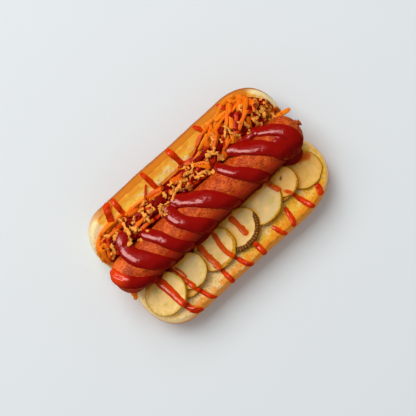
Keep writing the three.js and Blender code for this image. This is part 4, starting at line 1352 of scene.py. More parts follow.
# Larger flakes that lie where they catch the eye: x, y, heading in degrees, length, width, and how brown.
LARGE_FLAKES = [
    (-66.2, 31.5, -45, 5, 2.2, 0.4), (-62.6, 26.6, 10, 4.4, 2.8, 0.3), (-69, 21.8, 55, 8.6, 2.4, 0.2),
    (-73.2, 17.9, 0, 3.8, 2.2, 0.3), (-72.5, 20.3, 60, 2.2, 1.8, 0.3), (-52.9, 26.4, 82, 11, 2.6, 0.45),
    (-52.5, 34.3, -60, 4.6, 2, 0.3), (-49, 32.9, 95, 5.2, 2, 0.35), (-48.5, 22.4, 85, 5, 2.8, 0.0),
    (-46.2, 18.9, -20, 2.4, 1.6, 0.1), (-55.3, 19.1, 60, 5, 2.4, 0.1), (-57.6, 16.8, 20, 4, 2.2, 0.2),
    (-51.3, 14.2, -60, 4, 2.6, 0.2), (-44.5, 27.3, 10, 3, 1.6, 0.5), (-37.1, 23.3, 88, 10.6, 2.6, 0.35),
    (-36.5, 29.4, 10, 4.4, 2.8, 0.5), (-32.2, 31.5, 20, 3.6, 2, 0.3), (-30.8, 27.6, -10, 4.6, 2.2, 0.25),
    (-32.5, 23.8, -50, 5.4, 2.8, 0.45), (-29.4, 24.2, -80, 3.8, 1.8, 0.6), (-27.3, 18.6, 58, 6.6, 2.2, 0.0),
    (-24.8, 22, 5, 4.6, 2.2, 0.15), (-24.2, 19.3, 45, 3.2, 1.8, 0.5), (-20, 20.6, -10, 4.4, 2, 0.3),
    (-17.5, 25.6, 65, 5, 1.8, 0.3), (-9.5, 29, -20, 4.6, 2.6, 0.3), (-9.1, 26.2, 80, 2.6, 1.8, 0.3),
    (-11.9, 23.8, 20, 4.6, 2.6, 0.3), (-12.8, 21, 28, 7.5, 2.2, 0.2), (-7.2, 23, 20, 7, 2.1, 0.3),
    (-1, 24.4, 4, 7.5, 2, 0.45), (-0.7, 18.6, 80, 5.6, 4.6, 0.2), (2.8, 26.6, 30, 3.6, 2, 0.4),
    (6.3, 25.9, 0, 5.6, 2.8, 0.2), (10.9, 28, 50, 6.2, 1.5, 0.2), (8, 20.6, -35, 10, 3.6, 0.0),
    (11.6, 20, -46, 8, 1.8, 0.2), (5.3, 30.8, -20, 3.6, 2, 0.3), (16.1, 17.5, -70, 5, 2.6, 0.35),
    (18.9, 15.4, 40, 3.8, 2.8, 0.15), (23.6, 25.9, 20, 4.8, 3, 0.15), (26.8, 25.2, -48, 8.2, 2.8, 0.1),
    (29.1, 19.2, 95, 6.2, 4.4, 0.15), (34, 33.6, 68, 5.8, 2.4, 0.2), (30.4, 29.8, 35, 6, 1.9, 0.3),
    (29.3, 26.2, 45, 3.8, 2, 0.2), (43, 30.4, 50, 10, 1.9, 0.4), (45.5, 28.7, 95, 8, 1.7, 0.3),
    (47.6, 23.1, -55, 5.2, 1.8, 0.25), (46.9, 33.2, 88, 4, 1.6, 0.3), (61.2, 34.6, 80, 4.8, 1.5, 0.3),
    (63, 36.4, 10, 3, 2, 0.2), (57.3, 24.2, 85, 6.2, 2.6, 0.25), (64.2, 21.4, -72, 7.6, 3.2, 0.2),
    (66.2, 17.6, 40, 3, 1.5, 0.25), (72.4, 24.2, -25, 5.2, 2.6, 0.3), (71.4, 21, 35, 4.2, 1.8, 0.3),
    (68.6, 25.2, -75, 6.2, 1.6, 0.35), (76.3, 16.8, -80, 5.4, 1.7, 0.3), (73.5, 33.4, 0, 2.6, 1.8, 0.2),
    (77.4, 31, 20, 2.6, 1.8, 0.3), (80, 27, -40, 3.4, 2, 0.35), (78, 21.6, 30, 3.6, 2.2, 0.35),
]


class HOTDOG_OT_onions(bpy.types.Operator):
    """Strews crisp fried onion over the carrot, the ketchup and the edge of the sausage"""

    bl_idname = "hotdog.onions"
    bl_label = "Fried onion"

    def execute(self, context):
        heap = settings().heap
        random = self.random = np.random.default_rng(heap.seed + 1)
        below = ["carrot_shreds", "sauce_blots", "sauce_bed", "ketchup_thick", "sausage_skin"]
        heights = surface_heights(below, 12 * MM)
        self.ground = HeightMap((-88 * MM, 90 * MM), (8 * MM, 48 * MM), heights, cell=0.9 * MM)
        self.flakes = Ribbons()
        for share, (left, right, near, far), lengths in FLAKE_GROUPS:
            for _ in range(int(share * heap.flakes)):
                x, y = random.uniform(left, right), random.uniform(near, far)
                if any(a < x < b and c < y < d for a, b, c, d in FREE_FIELDS):
                    continue
                size = random.uniform(*lengths) * MM
                turn = random.uniform(0, np.pi)
                width = size * random.uniform(0.3, 0.6)
                self.flake(x * MM, y * MM, turn, size, width)
        for x, y, heading, size, width, brown in LARGE_FLAKES:
            self.flake(x * MM, y * MM, math.radians(heading), size * MM, width * MM, brown)
        self.flakes.piece("fried_onion", onion_finish(), "fried_onion")
        return {"FINISHED"}

    def flake(self, x, y, turn, size, width, brown=None):
        """A thin, curled, ragged flake that lies on the heap, with less sauce if its browning is given."""
        place, random = np.linspace(-1, 1, FLAKE_RINGS), self.random
        bow, wiggle = random.normal(0, 0.07, 2)
        bend = (bow * place**2 + wiggle * np.sin(place * 4)) * size
        px, py = turned(x, y, place * size / 2, bend, turn)
        thickness = random.uniform(0.25, 0.5) * MM
        pz = self.ground.settle(px, py, thickness, 1.6 * MM) + random.uniform(0, 0.3) * MM
        curl = random.normal(0, 0.2) * min(size, 6 * MM) * 0.3
        line = np.stack([px, py, pz + curl * (place**2 - 0.3)], axis=1)
        roll = random.normal(0, 0.35) + random.normal(0, 0.3) * place
        back = rolled(np.array([-math.sin(turn), math.cos(turn), 0]), roll)
        ends = np.clip(1.1 - np.abs(place) ** 3, 0.2, 1)
        outline = oval(FLAKE_SIDES) * random.uniform(0.5, 1.35, (FLAKE_RINGS, FLAKE_SIDES, 1))
        sauce = np.clip(0.2 + 0.9 * grain(line, 9, 41), 0, 1)
        if brown is None:
            brown = random.uniform(0.2, 0.9) + 0.35 * fade(64, 70, x)
        else:
            brown = brown + random.normal(0, 0.15)
            sauce = sauce * 0.2
        tone = brown - 0.12 + 0.5 * rims(FLAKE_SIDES)
        half_width = width * 0.64 * ends * random.uniform(0.5, 1.4, FLAKE_RINGS)
        self.flakes.add(line, back, half_width, thickness, outline, tone=tone, sauce=sauce)
        self.ground.cover(px, py, pz + thickness * 0.5, width / 2)


# ---------- ketchup ----------

# The thick zigzag: each band runs slantwise over the sausage, and neighbours meet in turns, on
# the heap at the top and on the sausage's flank below. A band has its width at either end and its
# thickness, as shares of the usual ones, and places x, y and how far they sink.
THICK_BANDS = [
    (0.95, 1.05, 1.0, [(-79.6, 10.8), (-80.2, 6.4), (-78.9, 2), (-75.6, -2.6), (-71.6, -6.8), (-67.2, -10),
                       (-63, -12.2, 2), (-60, -12.8, 8)]),
    (1.25, 1.2, 1.0, [(-51.5, 23), (-57, 22.6), (-61.4, 19.2), (-62.6, 13), (-60.8, 6.8), (-57.2, 1.6),
                      (-53.8, -3.2), (-50, -7.8), (-46, -11.8, 1), (-43.5, -13, 8)]),
    (0.9, 1.1, 1.0, [(-48.5, 18), (-45.8, 15.2), (-42.7, 11), (-39.8, 6.3), (-37.6, 1.4), (-35.4, -3.5),
                     (-32.4, -8), (-28.6, -11.8, 1), (-25.5, -13, 8)]),
    (0.95, 1.3, 1.0, [(-20.6, 19.6), (-22.6, 15), (-22.8, 9.6), (-20.8, 4.2), (-17.4, -0.7), (-14, -5),
                      (-10.8, -9.2), (-7.8, -12, 1.5), (-5.5, -13, 8)]),
    (1.3, 1.2, 1.0, [(-17.5, 19), (-12.6, 16.2), (-7.6, 12.8), (-2.6, 8.9), (1.8, 5), (6, 0.6), (9.6, -3.8),
                     (12.8, -8.2), (16, -11.9, 1.5), (18.5, -13, 8)]),
    (0.85, 1.05, 1.0, [(22.6, 17.6), (24, 12.8), (27, 7.6), (30.6, 2.9), (34.4, -1.4), (37.9, -5.8),
                       (41, -10), (43.2, -12.4, 2), (45, -13, 8)]),
    (1.15, 1.1, 1.0, [(34.6, 19), (40, 16.6), (46, 12.6), (51.4, 8), (56, 3), (59.8, -2.2), (62.8, -7.4),
                      (65.4, -11.8, 1.5), (67, -13, 8)]),
    (1.0, 1.1, 0.9, [(57.6, 16.8), (63, 13.6), (68.6, 9), (73, 3.8), (75.6, -2.2), (74.6, -8), (71.4, -12, 2),
                     (69.4, -13, 8)]),
    (1.0, 1.1, 0.4, [(61.6, 1.8), (65.4, -1.6), (68.2, -5.6), (69.4, -9.6), (69.4, -12.2, 2)]),
    (0.55, 0.7, 0.7, [(45.5, 18.6), (52, 17.2), (59.5, 16.8), (66.5, 13.6)]),
]
# A groove that parts the turn at the left end in two: half width, depth, and places x, y.
GROOVE = (0.5, 0.9, [(-79.2, 11.5), (-79.6, 7), (-77.6, 2.4)])
# Strands over the edge of the carrot half: x, the way over the cut face and down the crust, width
# and height.
CARROT_STRANDS = [
    [(-60, 35.5, 4.6, 1.2), (-58.3, 40, 5, 1.4), (-56.5, 44, 5.6, 1.5), (-54.5, 49.5, 6, 1.6),
     (-53, 54, 6.2, 1.6), (-52.5, 58.5, 4.6, 1.5)],
    [(-47.6, 35, 3.4, 1.1), (-47.5, 39, 3.6, 1.3), (-47.5, 43, 4, 1.4), (-47, 49, 4.2, 1.5),
     (-46.8, 57.5, 3.6, 1.4)],
    [(-18.2, 34.5, 3.2, 1.1), (-18.4, 39, 3.6, 1.3), (-18.6, 43, 4.2, 1.4), (-19, 49, 4, 1.5),
     (-19.5, 57, 3.4, 1.4)],
    [(6.3, 35, 5.2, 1.2), (6.2, 39, 4.4, 1.3), (6, 43, 4.2, 1.4), (5.4, 49, 5, 1.6), (4.9, 57.5, 4.2, 1.5)],
    [(34, 39, 2.6, 1), (33, 43, 3, 1.2), (32.2, 46, 3.2, 1.3), (31, 50, 3.6, 1.4), (29.5, 56.5, 3.2, 1.3)],
    [(56, 42, 4.2, 1.2), (55, 46, 4.6, 1.3), (54.3, 48, 4, 1.4), (53.5, 50, 3.8, 1.4), (52, 56.5, 3.6, 1.3)],
]
# Strands on the pickle half. First places x, y, width and height on the slices and the bun, then
# places x, way over the edge, width and height.
PICKLE_STRANDS = [
    ([(-62, -14.4, 9.5, 1.6), (-61, -17.5, 8.2, 1.7), (-60, -23, 7, 1.6), (-59.2, -30, 6.4, 1.4),
      (-58.7, -37, 5.6, 1.3), (-58.2, -42, 4.8, 1.5)],
     [(-57.4, 46.5, 5.2, 1.8), (-56, 49.5, 6, 2), (-54, 53, 6.6, 2), (-51.6, 57.5, 5, 1.6)]),
    ([(-49.8, -14.6, 3.4, 1.2), (-48.6, -19.5, 3, 1.2), (-47.4, -25, 3, 1.1), (-46.4, -30, 4, 1.2),
      (-45, -36, 4.4, 0.9), (-43.6, -42, 3.6, 1.2)],
     [(-42.4, 47, 3.8, 1.4), (-41, 50.5, 4.2, 1.6), (-38.6, 57, 3.8, 1.4)]),
    ([(-22.8, -41.5, 3.4, 0.9)], [(-22.8, 47, 4, 1.4), (-22.5, 50.5, 4.2, 1.6), (-22.3, 57.5, 3.8, 1.4)]),
    ([(-9.6, -41, 3.8, 0.9)], [(-8.2, 46, 4, 1.4), (-6.6, 50.5, 4.4, 1.6), (-4, 57.5, 4.2, 1.4)]),
    ([(7, -40.5, 3.6, 1.2)], [(7.1, 46, 4.4, 1.7), (7.4, 50, 4.6, 1.7), (7.6, 58, 4.2, 1.6)]),
    ([(23.8, -41, 2.8, 0.5)], [(24.8, 45.5, 3.8, 0.9), (26, 49.5, 3.8, 1.4), (28, 57, 3.4, 1.4)]),
    ([(39.8, -37, 3.2, 1)], [(38.8, 43, 3.8, 1.4), (37.5, 49, 4.4, 1.6), (35.8, 56, 4.2, 1.5)]),
    ([(50.4, -35, 2.4, 0.8)],
     [(51.4, 40.5, 4, 1.4), (53, 45.5, 4.6, 1.6), (54.2, 50, 4.6, 1.6), (55.4, 54.5, 4, 1.4)]),
    ([(67.6, -39.5, 3.6, 1.2)], [(66.8, 43.5, 4.6, 1.7), (65.8, 47, 5, 1.8), (65, 51.5, 4.6, 1.6)]),
]
# Flat smears that shine through, over the slices: width, height, places x, y.
SMEARS = [
    (4.8, 0.4, [(-23.9, -15.5), (-23.4, -27), (-23, -38), (-22.8, -43)]),
    (3.9, 0.4, [(-9.8, -15.5), (-11.4, -24), (-12, -31.5), (-10.4, -38), (-9.4, -42)]),
    (4.8, 0.4, [(6.4, -16), (7, -25), (7.4, -33.5)]),
    (3.2, 0.35, [(41.4, -17.5), (43, -21), (44.4, -25.4)]),
    (2.6, 0.4, [(47.8, -28.6), (49.4, -32), (50.6, -35.5)]),
    (1.8, 0.3, [(-46.6, -16.4), (-45, -21.5), (-44.4, -27.5)]),
]
# Sauce that ran together below the sausage: x, y and half width along each pool, and its thickness.
POOL_UP = np.array([0, -0.35, 1])
POOLS = [
    (1.5, [(-72, -10.5, 1.0), (-66, -12.8, 2.2), (-58, -13.8, 3.0), (-48, -14, 2.4), (-40, -13.8, 1.8),
           (-34, -14.2, 2.6), (-26, -14.5, 3.0), (-17, -14.4, 2.8), (-9, -14.2, 2.3), (-3, -13.6, 1.5),
           (5, -13.4, 1.3), (12, -13.8, 2.2), (18, -14, 2.6), (23, -13.6, 1.6), (31, -13.4, 1.3),
           (37, -14, 2.2), (42, -14.4, 2.6), (46, -13.6, 1.5), (55, -13.2, 1.1), (60, -13.4, 1.4)]),
    (3.6, [(60.5, -13.4, 1.8), (64, -14.8, 3.4), (68.5, -15.4, 4), (73, -14.4, 3.4), (76.5, -12, 1.6)]),
]


BAND_RINGS, POOL_RINGS, SMEAR_RINGS, STRAND_RINGS = 40, 90, 50, 70
EDGE_STEPS = 24  # points of a strand's line before it is relaxed
GAP_STEPS = 40
TAUTNESS = 0.75  # how far a band keeps to a straight line over the dips below it


def blunt(count):
    """A rounded, blunt end at both ends of a strip of sauce."""
    place = np.linspace(0, 1, count)
    return np.clip(0.45 + 5 * np.minimum(place, 1 - place), 0, 1) ** 0.7


def band_line(places):
    """The middle line of a thick band on the sausage, and on the heap beside it."""
    s = settings().sausage
    line = spline([(x * MM, y * MM, sum(sunk) * MM) for x, y, *sunk in places], BAND_RINGS)
    x, y, drop = line.T
    away = y - s.across
    radius = sausage_radius(np.clip(x, s.left + 0.5 * MM, s.right))
    z = s.height + np.sqrt(np.clip(radius**2 - away**2, 0, None))
    z = np.where(away > 0, np.maximum(z, heap_top(x, y) + 1.2 * MM), z)
    z = z - drop - settings().ketchup.band_sink
    line[:, 2] = z + TAUTNESS * (taut(line[:, :2], z) - z)
    relax(line, 4)
    return line


def taut(places, height):
    """The height of a cord that is stretched tight over a row of places."""
    run = run_along(places)
    over = height.copy()
    for i in range(len(run)):
        for j in range(i + 2, len(run)):
            share = (run[i + 1 : j] - run[i]) / (run[j] - run[i])
            over[i + 1 : j] = np.maximum(over[i + 1 : j], height[i] + share * (height[j] - height[i]))
    return over


def band_up(line):
    """Away from the sausage's surface, and upwards where the band has left the sausage."""
    s = settings().sausage
    x = np.clip(line[:, 0], s.left + 1 * MM, s.right - 1 * MM)
    from_axis = np.stack([0 * x, line[:, 1] - s.across, line[:, 2] - s.height], axis=1)
    away = fade(0, 5, np.linalg.norm(from_axis, axis=1, keepdims=True) - s.radius)
    outward = unit(from_axis)
    outward[:, 0] = (sausage_radius(x - 0.3 * MM) - sausage_radius(x + 0.3 * MM)) / (0.6 * MM)
    return unit(outward) * (1 - away) + UP * away


def rims(sides):
    """1 at the two thin rims of a strip of sauce, and 0 on its back."""
    return smoothstep(0.75, 0.25, oval(sides)[None, :, 1])


def gap_to(points, places):
    """How far each point is from a line through the places, seen from above."""
    line = flat_line(places, GAP_STEPS)[:, :2]
    return np.sqrt(((points[:, None, :2] - line[None]) ** 2).sum(axis=2)).min(axis=1)


def slices_and_bun():
    """A function that gives the height of the pickle slices and of the bun below them."""
    return surface_heights([*map(slice_name, range(1, SLICES + 1)), "bun_crumb_and_crust"], 0)


class HOTDOG_OT_thick_ketchup(bpy.types.Operator):
    """Squeezes the thick ketchup zigzag over the sausage, and gathers what ran down below it"""

    bl_idname = "hotdog.thick_ketchup"
    bl_label = "Thick ketchup"

    def execute(self, context):
        k = settings().ketchup
        random = np.random.default_rng(k.seed)
        bands = Ribbons()
        for first, last, thickness, places in THICK_BANDS:
            line = band_line(places)
            place, ends = np.linspace(0, 1, BAND_RINGS), blunt(BAND_RINGS)
            swell = np.interp(place, (0, 0.8, 1), (first, last, 0.7 * last))
            swell = swell * (1 + 0.08 * np.sin(place * 9 + random.uniform(0, 6)))
            height = k.band_half_height * thickness * ends * np.minimum(1, swell + 0.15)
            bands.add(line, band_up(line), k.band_half_width * ends * swell, height, oval(14))
        piece = bands.piece("ketchup_thick", thick_ketchup_finish(), "ketchup")
        reskin(piece, 0.5 * MM, 3)
        at = points_of(piece)
        x, y, _ = at.T
        width, depth, places = GROOVE
        groove = depth * (1 - fade(0, 2 * width, gap_to(at, places)))
        emboss(piece, 0.24 * grain(at, 6, 51) + 0.12 * grain(at, 2.4, 52) - groove)
        thin = fade(-67, -78, x) * fade(-9, 7, y)
        # Painted shade: the bands darken to deep ketchup towards the sausage's underside.
        deep = fade(-3, -11.5, y + 1.5 * MM * grain(at, 9, 53)) * (1 - 0.5 * thin)
        paint(piece, thin=thin, deep=deep)
        self.gathered()
        return {"FINISHED"}

    def gathered(self):
        """The pools below the sausage."""
        resting, ends = slices_and_bun(), blunt(POOL_RINGS)
        pools = Ribbons()
        for thickness, places in POOLS:
            x, y, half_width = spline(np.array(places) * MM, POOL_RINGS).T
            z = resting(x, y) + (thickness - 1.5) * 0.6 * MM
            relax(z, 8)
            line = np.stack([x, y, z + 0.3 * MM], axis=1)
            uneven = 1 + 0.22 * grain(line, 3, 54)
            pools.add(line, POOL_UP, half_width * ends * uneven, thickness * MM * ends, oval(12))
        piece = pools.piece("ketchup_gathered", gathered_ketchup_finish(), "ketchup")
        reskin(piece, 0.35 * MM, 2)


class HOTDOG_OT_thin_ketchup(bpy.types.Operator):
    """Draws the thinner strands of ketchup over the edges of the bun, and smears of it on the slices"""

    bl_idname = "hotdog.thin_ketchup"
    bl_label = "Thin ketchup"

    def execute(self, context):
        self.strands()
        self.smears()
        return {"FINISHED"}

    def strands(self):
        """The strands over both edges of the bun."""
        upper, lower = carrot_half(), pickle_half()
        resting = slices_and_bun()
        strands = Ribbons()
        for edge in CARROT_STRANDS:
            self.strand(strands, upper, self.over_edge(upper, edge))
        for flat, edge in PICKLE_STRANDS:
            flat = np.array(flat) * MM
            x, y, *sizes = (spline(flat, EDGE_STEPS) if len(flat) > 1 else flat).T
            lying = np.column_stack([x, y, resting(x, y) + 0.1 * MM, *sizes])
            self.strand(strands, lower, np.vstack([lying, self.over_edge(lower, edge)]))
        self.dress(strands, "ketchup_thin", 1.0)

    def smears(self):
        """The flat smears on the slices."""
        resting, ends = slices_and_bun(), blunt(SMEAR_RINGS)
        smears = Ribbons()
        for width, height, places in SMEARS:
            line = flat_line(places, SMEAR_RINGS)
            line[:, 2] = resting(line[:, 0], line[:, 1]) + 0.1 * MM
            half_width = width * MM / 2 * ends * (1 + 0.2 * grain(line, 3.5, 57))
            film = 0.9 - rims(14) * 0.5
            smears.add(line, UP, half_width, height * MM * ends, oval(14), film=film, edge=0.0)
        self.dress(smears, "ketchup_smears", 0.4)

    def dress(self, ribbons, name, wet):
        """Makes a piece of the ribbons, roughens it, and paints how wet each point is."""
        piece = ribbons.piece(name, thin_ketchup_finish(name), "ketchup")
        at = points_of(piece)
        x, y, _ = at.T
        emboss(piece, 0.2 * grain(at, 2.6, 55) + 0.12 * grain(at, 1.2, 56))
        broadest = (x > -66 * MM) * (x < -53 * MM) * (y < 0)
        moist = np.maximum(broadest, 0.8 * smoothstep(-0.1, 0.3, grain(at, 4, 58)))
        paint(piece, wet=wet * moist * smoothstep(0, 0.15, -normals_of(piece)[:, 0]))

    def over_edge(self, half, places):
        """Points with width and height that run over the cut face of a half and down its crust."""
        x, way, *sizes = spline(np.array(places) * MM, EDGE_STEPS).T
        surface = np.array([half.skin(*place, 0.2 * MM) for place in zip(x, way)])
        return np.column_stack([surface, *sizes])

    def strand(self, strands, half, places):
        """Adds a strand whose back faces up on the slices, and away from the heart of the bun past them."""
        line = spline(places, STRAND_RINGS)
        relax(line, 3)
        heart = half.point(0, half.width - 12 * MM, 8 * MM)
        back = (line[:, :3] - heart) * (0, 1, 1)
        flat = np.abs(line[:, 1]) < np.abs(heart[1])
        back[flat] = UP
        for _ in range(6):
            back[1:-1] += (unit(back[:-2]) + unit(back[2:])) / 2
        width, height, ends = line[:, 3], line[:, 4], blunt(STRAND_RINGS)
        film = 0.6 * fade(1.1, 0.6, height) + 0.4 * flat * (half.side < 0)
        strands.add(line[:, :3], back, width / 2 * ends, height * ends, oval(16), film=film, edge=rims(16))


# ---------- pickle slices ----------

SLICES = 9
SLICE_HALF_THICKNESS = 1.1 * MM
THIN_RIND = 0.42 * MM
# Slices that show more of their dark rind: its heading and reach in degrees, and its width.
THICK_RINDS = {
    3: (-60, 50, 0.4 * MM), 4: (-85, 70, 0.5 * MM), 5: (-66, 76, 2.4 * MM),
    6: (-48, 72, 1.9 * MM), 7: (-90, 60, 0.4 * MM), 9: (-35, 30, 0.4 * MM),
}
# How golden the flesh of each slice is.
GOLDEN = {1: 0.75, 2: 1.0, 3: 0.75, 4: 0.2, 5: 0.4, 6: 0.35, 7: 0.8, 8: 0.2, 9: 0.15}
# How pale the flesh of each slice is.
PALE = {1: 1.0, 2: 0.0, 3: 0.1, 4: 0.2, 5: 0.4, 6: 0.4, 7: 0.2, 8: 0.1, 9: 1.0}
STRIPED = 5  # the slice whose rind is dark with pale stripes
STRIPES = 46  # how many of them would go round a slice
SEED_SLICE = 3  # the slice in whose flesh a dark seed shows
SEED_X, SEED_Y, SEED_TURN = 51.1 * MM, -19.6 * MM, math.radians(-20)
SEED_LENGTH, SEED_WIDTH = 1.7 * MM, 0.75 * MM
# Smears of ketchup on the slices: their half width, how dense they are, and places x, y.
FILMS = [
    (2.8, 0.45, [(-23.9, -15), (-23.4, -27), (-23, -38)]),
    (2.6, 0.4, [(-9.8, -15), (-11.6, -24), (-12, -31.5), (-9, -40)]),
    (2.8, 0.5, [(6.3, -15), (7, -25), (7.7, -33)]),
    (2.4, 0.8, [(41, -16), (43, -20), (45, -25.2)]),
    (3.8, 0.72, [(66, -17), (71, -19.4), (75.5, -20.5)]),
    (1.8, 0.7, [(47, -28), (49.5, -32.5), (50.5, -35)]),
]
# The brown juice by the sausage is partly painted shade.
JUICE_REACH = 8.5 * MM  # how far brown juice spreads from the sausage over the slices
SLICE_SIDES, SLICE_RINGS = 120, 26
JAGS = 48  # how many small notches there are round a rind
FIRST_RANDOM = 60  # each slice draws numbers of its own, seeded from here on


def slice_name(i):
    return f"pickle_slice_{i}"


def slice_frame(node):
    """Middle, across, along and up vectors and half sizes of a slice's solid."""
    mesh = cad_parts[node].data
    corners = np.array([v.co for v in mesh.vertices])
    centred = corners - corners.mean(axis=0)
    up = np.linalg.svd(centred, full_matrices=False)[2][2]
    up = up * np.sign(up[2])
    along = unit(np.array([1.0, 0, 0]) - up * up[0])
    across = np.cross(up, along)
    places = corners @ np.stack([along, across, up], axis=1)
    low, high = places.min(axis=0), places.max(axis=0)
    middle = (low + high) / 2 @ np.stack([along, across, up])
    return middle, along, across, up, (high - low) / 2


class HOTDOG_OT_pickles(bpy.types.Operator):
    """Lays the pickle slices like tiles on the cut face, each with its skin, flesh and film of ketchup"""

    bl_idname = "hotdog.pickles"
    bl_label = "Pickle slices"

    def execute(self, context):
        finish = pickle_finish()
        for i in range(1, SLICES + 1):
            self.slice(i, finish)
        return {"FINISHED"}

    def slice(self, i, finish):
        """One slice: rings from its middle over the rim to the underside, which lies on its solid's place."""
        node = f"pickle_{i}"
        middle, along, across, up, half = slice_frame(node)
        turn = full_turn(SLICE_SIDES)
        random = np.random.default_rng(FIRST_RANDOM + i)
        lobes = 1 + 0.012 * np.sin(3 * turn + random.uniform(0, 6))
        lobes = lobes + 0.008 * np.sin(7 * turn + random.uniform(0, 6))
        notches = np.append(random.uniform(-1, 1, JAGS), 0)
        jag = np.interp(turn, np.linspace(0, 2 * np.pi, JAGS + 1), notches)
        bevel = 1 - 0.3 * MM / half[0]
        profile = [(r, 1.0) for r in np.sqrt(np.linspace(0.0, 0.97, SLICE_RINGS))[1:]]
        profile += [(bevel, 0.9), (1, 0.45), (1, -0.45), (bevel, -0.9), (0.7, -1.0), (0.35, -1.0)]
        radius, level = np.array(profile).T[..., None]
        on_top = level > 0.8
        radial = radius * lobes + smoothstep(0.90, 1.0, radius) * jag * 0.24 * MM / half[0]
        u = radial * np.cos(turn) * half[0]
        v = radial * np.sin(turn) * half[1]
        spokes = np.sin(3 * turn + random.uniform(0, 6)) * np.exp(-(((radius - 0.42) / 0.2) ** 2))
        bowl = 0.25 * smoothstep(0.55, 0.97, radius) - 0.12 + 0.14 * spokes
        inward = (1 - radius) * half.mean()
        rind, rind_width, striped, angle = self.rind(i, turn, inward, jag)
        slope = 1 - inward / np.maximum(rind_width, 0.1 * MM)
        sunk = 0.25 * np.maximum(rind_width - 1 * MM, 0) * rind * slope
        h = level * SLICE_HALF_THICKNESS + on_top * (bowl * MM - sunk)
        points = (middle + u[..., None] * along + v[..., None] * across + h[..., None] * up).reshape(-1, 3)
        points = points + up * (0.16 * grain(points, 6, 70 + i) * MM)[:, None]
        centres = middle + np.array([[0.9], [-1]]) * SLICE_HALF_THICKNESS * up
        faces = [face[::-1] for face in loft_faces(len(profile), SLICE_SIDES, caps=False)]
        top, last = len(points), (len(profile) - 1) * SLICE_SIDES
        for a in range(SLICE_SIDES):
            b = (a + 1) % SLICE_SIDES
            faces += [(top, a, b), (top + 1, last + b, last + a)]
        points = np.vstack([points, centres])
        piece = add_piece(slice_name(i), points, faces, finish, "pickle", node)
        piece.visible_glossy = False

        def spread(value, *centres):
            """Values for the points of every ring, and for the two centres."""
            return np.append(np.broadcast_to(value, radial.shape).ravel(), centres or (0, 0))

        sauce = self.film(points) * spread(level > 0, 1, 0)
        rim = spread(np.clip(1 - inward / (2.8 * MM), 0, 1))
        paint(piece, sauce=sauce, juice=self.juice(points, i), gold=GOLDEN[i], pale=PALE[i])
        paint(piece, rim=rim, ray=spread(np.clip(spokes, 0, 1)), rind=spread(rind))
        paint(piece, striped=spread(striped), angle=spread(angle))
        paint(piece, seed=self.seed(points) if i == SEED_SLICE else 0)

    def rind(self, i, turn, inward, jag):
        """The rind's share at each point, its width, where it is striped, and the angle of its stripes."""
        heading, reach, more = THICK_RINDS.get(i, (0, 0, 0))
        near = np.cos(turn - math.radians(heading)) - math.cos(math.radians(reach))
        thin = THIN_RIND * (1 + 0.5 * np.sin(2 * turn + i) + 0.3 * np.sin(5 * turn + 2 * i))
        width = thin + more * smoothstep(0, 0.25, near) * (reach > 0)
        rind = 1 - smoothstep(0.65, 1.0, inward / (width * (1 + 0.12 * jag)))
        striped = (i == STRIPED) * smoothstep(0, 0.2, near)
        angle = (turn - math.radians(heading) + np.pi) % (2 * np.pi) - np.pi
        return rind, width, striped, angle

    def seed(self, points):
        """A dark seed that shows in the flesh."""
        x, y, _ = points.T
        along, across = turned(0, 0, x - SEED_X, y - SEED_Y, SEED_TURN)
        return 1 - smoothstep(0.6, 1.2, np.hypot(along / SEED_LENGTH, across / SEED_WIDTH))

    def juice(self, points, i):
        """How much brown juice and painted shade lies on each point: by the sausage, and round the slices on
        this one.
        """
        sausage = settings().sausage
        gathered = 1 - smoothstep(0, JUICE_REACH, sausage.across - sausage.radius - points[:, 1])
        for j in {*range(1, SLICES + 1)} - {i}:
            middle, along, across, up, half = slice_frame(f"pickle_{j}")
            from_middle = points - middle
            share = np.hypot(from_middle @ along / half[0], from_middle @ across / half[1])
            gap = (share - 1) * half[:2].mean()
            # Painted shade round the edges of the slices that lie on this one.
            below = (from_middle @ up < 0) * (gap > -1 * MM)
            gathered = np.maximum(gathered, 0.7 * below * (1 - fade(0, 2.6, gap)))
        return gathered

    def film(self, points):
        """How much ketchup lies on each point."""
        sauce = np.zeros(len(points))
        fray = 1 + 0.5 * grain(points, 2.2, 90)
        for half_width, density, places in FILMS:
            gap = gap_to(points, places) / (half_width * MM) / fray
            sauce = np.maximum(sauce, density * (1 - smoothstep(0.2, 1.3, gap)))
        return sauce


# ---------- stage ----------

SHEEN_TINT = (1.0, 0.78, 0.74)
WINDOW_HEADING, SHEEN_HEADING = (-0.06, 1, 0), (-0.6, 0.8, 0)
FLOOR_REACH = 2
PICTURE_WIDTH = 416  # pixels
RAISED = 2  # how many pixels the hot dog lies above the middle of the picture


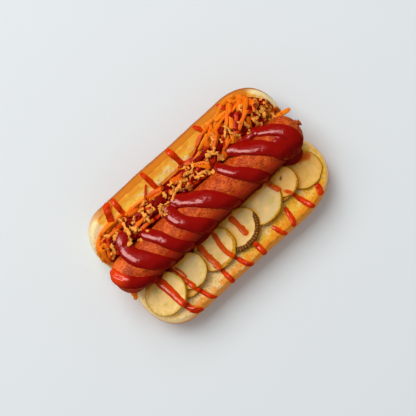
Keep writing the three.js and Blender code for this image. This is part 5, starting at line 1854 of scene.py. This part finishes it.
class HOTDOG_OT_stage(bpy.types.Operator):
    """Sets out the pale floor, the soft light from beyond the carrot side, and the camera overhead"""

    bl_idname = "hotdog.stage"
    bl_label = "Stage"

    def execute(self, context):
        s = settings().stage
        finish = Finish("floor", roughness=0.75, specular_ior_level=0.2, base_color=s.floor)
        mesh = bpy.data.meshes.new("floor")
        corners = [(x * FLOOR_REACH, y * FLOOR_REACH, 0) for x, y in ((-1, -1), (1, -1), (1, 1), (-1, 1))]
        mesh.from_pydata(corners, [], [(0, 1, 2, 3)])
        mesh.materials.append(finish.material)
        floor = add_object("floor", mesh)
        floor.visible_glossy = False
        self.lights(context, s)
        self.camera(context, s)
        context.scene.view_settings.view_transform = "Standard"
        return {"FINISHED"}

    def lights(self, context, s):
        world = bpy.data.worlds.new("studio")
        context.scene.world = world
        room = Nodes(world, "Background")
        room.set("Color", (1, 1, 1))
        room.set("Strength", s.room_light)
        world.cycles_visibility.glossy = False
        window = self.lamp("window", WINDOW_HEADING, s.window_height, s.window_width, s.window_tall)
        window.data.energy = s.window_light * (math.pi * s.window_distance) ** 2 / math.sin(s.window_height)
        window.visible_glossy = False
        sheen = self.lamp("sheen", SHEEN_HEADING, s.sheen_height, s.sheen_width, s.sheen_tall)
        sheen.data.energy = s.sheen_light * math.pi * s.sheen_width * s.sheen_tall
        sheen.data.color = SHEEN_TINT
        sheen.visible_diffuse = False

    def lamp(self, name, heading, elevation, width, tall):
        """A rectangular lamp that faces the hot dog from the given heading and height."""
        data = bpy.data.lights.new(name, "AREA")
        data.shape = "RECTANGLE"
        data.size, data.size_y = width, tall
        away = Vector(heading).normalized() * math.cos(elevation)
        direction = Vector((away.x, away.y, math.sin(elevation)))
        lamp = add_object(name, data)
        lamp.location = direction * settings().stage.window_distance
        lamp.rotation_euler = direction.to_track_quat("Z", "Y").to_euler()
        return lamp

    def camera(self, context, s):
        data = bpy.data.cameras.new("overhead")
        distance = s.camera_height - settings().sausage.height
        data.angle = 2 * math.atan(s.view_width / 2 / distance)
        camera = add_object("overhead", data)
        down = RAISED * s.view_width / PICTURE_WIDTH
        camera.location = (math.sin(s.turn) * down, -math.cos(s.turn) * down, s.camera_height)
        camera.rotation_euler = (0, 0, s.turn)
        context.scene.camera = camera


# ---------- the add-on ----------

OPERATORS = (
    HOTDOG_OT_stage,
    HOTDOG_OT_bun,
    HOTDOG_OT_sausage,
    HOTDOG_OT_pickles,
    HOTDOG_OT_thick_ketchup,
    HOTDOG_OT_thin_ketchup,
    HOTDOG_OT_carrots,
    HOTDOG_OT_onions,
)


class HOTDOG_PT_panel(bpy.types.Panel):
    """Lists the pieces of the hot dog in working order"""

    bl_label = "Hot dog"
    bl_idname = "HOTDOG_PT_panel"
    bl_space_type = "VIEW_3D"
    bl_region_type = "UI"
    bl_category = "Hot dog"

    def draw(self, context):
        for operator in OPERATORS:
            self.layout.operator(operator.bl_idname)


SETTINGS = (
    BunSettings,
    SausageSettings,
    KetchupSettings,
    PickleSettings,
    HeapSettings,
    StageSettings,
    HotDogSettings,
)


def register():
    for cls in (*SETTINGS, *OPERATORS, HOTDOG_PT_panel):
        bpy.utils.register_class(cls)
    bpy.types.Scene.hot_dog = PointerProperty(type=HotDogSettings)


def unregister():
    del bpy.types.Scene.hot_dog
    for cls in reversed((*SETTINGS, *OPERATORS, HOTDOG_PT_panel)):
        bpy.utils.unregister_class(cls)


def main():
    register()
    for operator in OPERATORS:
        group, name = operator.bl_idname.split(".")
        getattr(getattr(bpy.ops, group), name)()


if __name__ == "__main__":
    main()
